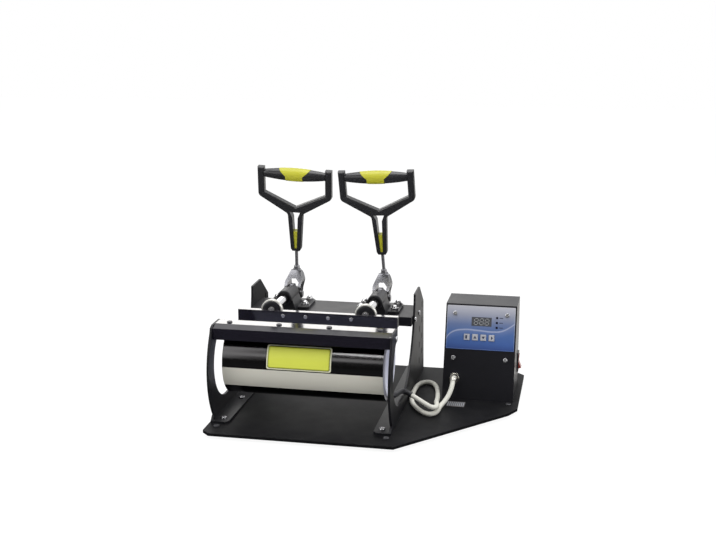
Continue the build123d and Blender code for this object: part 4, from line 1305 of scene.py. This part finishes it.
@dataclass(frozen=True)
class Card:
    """A card that only mirrors see: nearly dark, or a light strip."""

    name: str
    corners: tuple[Point, ...]
    strength: float
    colour: tuple[float, ...] = (1.0, 0.98, 0.95, 1.0)

    def build(self) -> None:
        """Set up the card."""
        mesh = bpy.data.meshes.new(self.name)
        mesh.from_pydata(self.corners, [], [(0, 1, 2, 3)])
        card = bpy.data.objects.new(self.name, mesh)
        bpy.context.scene.collection.objects.link(card)
        card.visible_camera = False
        card.visible_diffuse = False
        card.visible_shadow = False
        card.visible_transmission = False
        material = bpy.data.materials.new(self.name)
        material.use_nodes = True
        nodes = material.node_tree.nodes
        nodes.remove(nodes["Principled BSDF"])
        graph = Graph(material.node_tree)
        glow = graph.add("Emission", {"Color": self.colour, "Strength": self.strength})
        graph.feed(nodes["Material Output"].inputs["Surface"], glow.outputs[0])
        mesh.materials.append(material)


def wall(x0: float, x1: float, y: float, z0: float, z1: float) -> tuple[Point, ...]:
    """Corners of an upright card across the view."""
    return (x0, y, z0), (x1, y, z0), (x1, y, z1), (x0, y, z1)


@dataclass
class Studio:
    """Floor, world, lamps, reflection cards and the camera."""

    floor_size: float = 9.0
    floor_drop: float = 0.0002
    paper_colour: tuple[float, ...] = (0.85, 0.85, 0.85, 1.0)
    white: tuple[float, ...] = (1.0, 1.0, 1.0, 1.0)
    floor_glow: float = 1.13
    floor_glow_share: float = 0.82
    floor_in_mirrors: float = 0.05
    world_in_mirrors: float = 0.9
    world_light: float = 0.5
    camera_at: Point = (0.2976, -1.6035, 0.5913)
    camera_tip: float = 76.63
    camera_turn: float = 11.33
    lens: float = 59.67
    sensor: float = 36.0
    lamps: tuple[Lamp, ...] = (
        Lamp("top_softbox", (-0.1, 0.1, 1.6), (0.0, 0.0, 0.1), (1.6, 1.0), 14.0),
        Lamp("left_softbox", (-1.5, -1.0, 1.0), (-0.1, 0.0, 0.12), (0.9, 0.9), 10.0),
        Lamp("right_softbox", (1.6, -0.7, 0.9), (0.1, 0.0, 0.12), (0.8, 0.8), 7.0),
    )
    cards: tuple[Card, ...] = (
        Card("front_card", wall(-4.0, 4.0, -2.6, 0.0, 4.0), 0.03),
        Card("high_card", ((-4.0, -2.6, 4.0), (4.0, -2.6, 4.0), (4.0, -0.7, 4.4),
                           (-4.0, -0.7, 4.4)), 0.05),
        Card("thin_strip", ((-0.47, -1.52, 1.5), (-0.29, -1.44, 1.5), (-0.29, -1.78, 1.5),
                            (-0.47, -1.66, 1.5)), 9.0),
        Card("left_glow", ((-1.4, -2.3, 0.5), (-0.86, -2.3, 0.5), (-0.95, -2.3, 2.6),
                           (-1.5, -2.3, 2.6)), 1.3),
        Card("right_glow", wall(-0.86, -0.3, -2.3, 0.9, 1.35), 1.1),
        Card("side_glow", ((0.205, 0.15, 0.001), (0.6, 0.15, 0.001), (0.9, 2.2, 0.001),
                           (0.205, 2.2, 0.001)), 1.0),
        Card("upright_glow", ((0.07, 0.15, 0.001), (0.2, 0.15, 0.001), (0.2, 2.0, 0.001),
                              (0.07, 2.0, 0.001)), 0.7),
        Card("bar_glow", wall(-0.80, -0.02, 1.0, 0.405, 0.50), 3.5),
    )

    def floor(self) -> None:
        """Lay a pale floor that shows white to the camera and keeps a light shadow."""
        s = self.floor_size / 2
        mesh = bpy.data.meshes.new("floor")
        mesh.from_pydata([(-s, -s, 0), (s, -s, 0), (s, s, 0), (-s, s, 0)], [], [(0, 1, 2, 3)])
        floor = bpy.data.objects.new("floor", mesh)
        bpy.context.scene.collection.objects.link(floor)
        floor.location.z = -self.floor_drop
        material = bpy.data.materials.new("floor_paper")
        material.use_nodes = True
        graph = Graph(material.node_tree)
        nodes = material.node_tree.nodes
        nodes.remove(nodes["Principled BSDF"])
        paper = graph.add("BsdfDiffuse", {"Color": self.paper_colour}).outputs[0]
        bright, dim = (graph.add("Emission", {"Color": self.white, "Strength": glow}).outputs[0]
                       for glow in (self.floor_glow, self.floor_in_mirrors))
        seen = graph.add("LightPath").outputs
        share = graph.math("MULTIPLY", seen["Is Camera Ray"], self.floor_glow_share)
        shown = graph.add("MixShader", {0: share, 1: paper, 2: bright}).outputs[0]
        mixed = graph.add("MixShader", {0: seen["Is Glossy Ray"], 1: shown, 2: dim}).outputs[0]
        graph.feed(nodes["Material Output"].inputs["Surface"], mixed)
        mesh.materials.append(material)

    def world(self) -> None:
        """Make the world white where it is seen or mirrored, softer where it only lights."""
        world = bpy.data.worlds.new("studio_world")
        bpy.context.scene.world = world
        world.use_nodes = True
        graph = Graph(world.node_tree)
        seen = graph.add("LightPath").outputs
        direct = graph.math("MAXIMUM", seen["Is Camera Ray"], seen["Is Transmission Ray"])
        mirror = graph.math("MULTIPLY", seen["Is Glossy Ray"], self.world_in_mirrors)
        strength = graph.math("MAXIMUM", graph.math("MAXIMUM", direct, mirror), self.world_light)
        background = world.node_tree.nodes["Background"]
        background.inputs["Color"].default_value = self.white
        graph.feed(background.inputs["Strength"], strength)

    def camera(self) -> None:
        """Set the camera at the photograph's viewpoint."""
        data = bpy.data.cameras.new("camera")
        data.sensor_width = self.sensor
        data.sensor_fit = "HORIZONTAL"
        data.lens = self.lens
        camera = bpy.data.objects.new("camera", data)
        bpy.context.scene.collection.objects.link(camera)
        camera.location = self.camera_at
        camera.rotation_euler = (radians(self.camera_tip), 0.0, radians(self.camera_turn))
        bpy.context.scene.camera = camera

    def build(self) -> None:
        """Set up the stage."""
        bpy.context.scene.view_settings.view_transform = "Standard"
        self.floor()
        self.world()
        for thing in self.lamps + self.cards:
            thing.build()
            log.info("%s set up", thing.name)
        self.camera()


def main() -> None:
    """Build the pieces in order."""
    logging.basicConfig(level=logging.INFO, format="%(name)s %(message)s")
    for part in (Studio(), Dresser(), Wrap(), HeaterLead(), ControlFace(), Clamps(),
                 BaseSticker()):
        part.build()


if __name__ == "__main__":
    main()
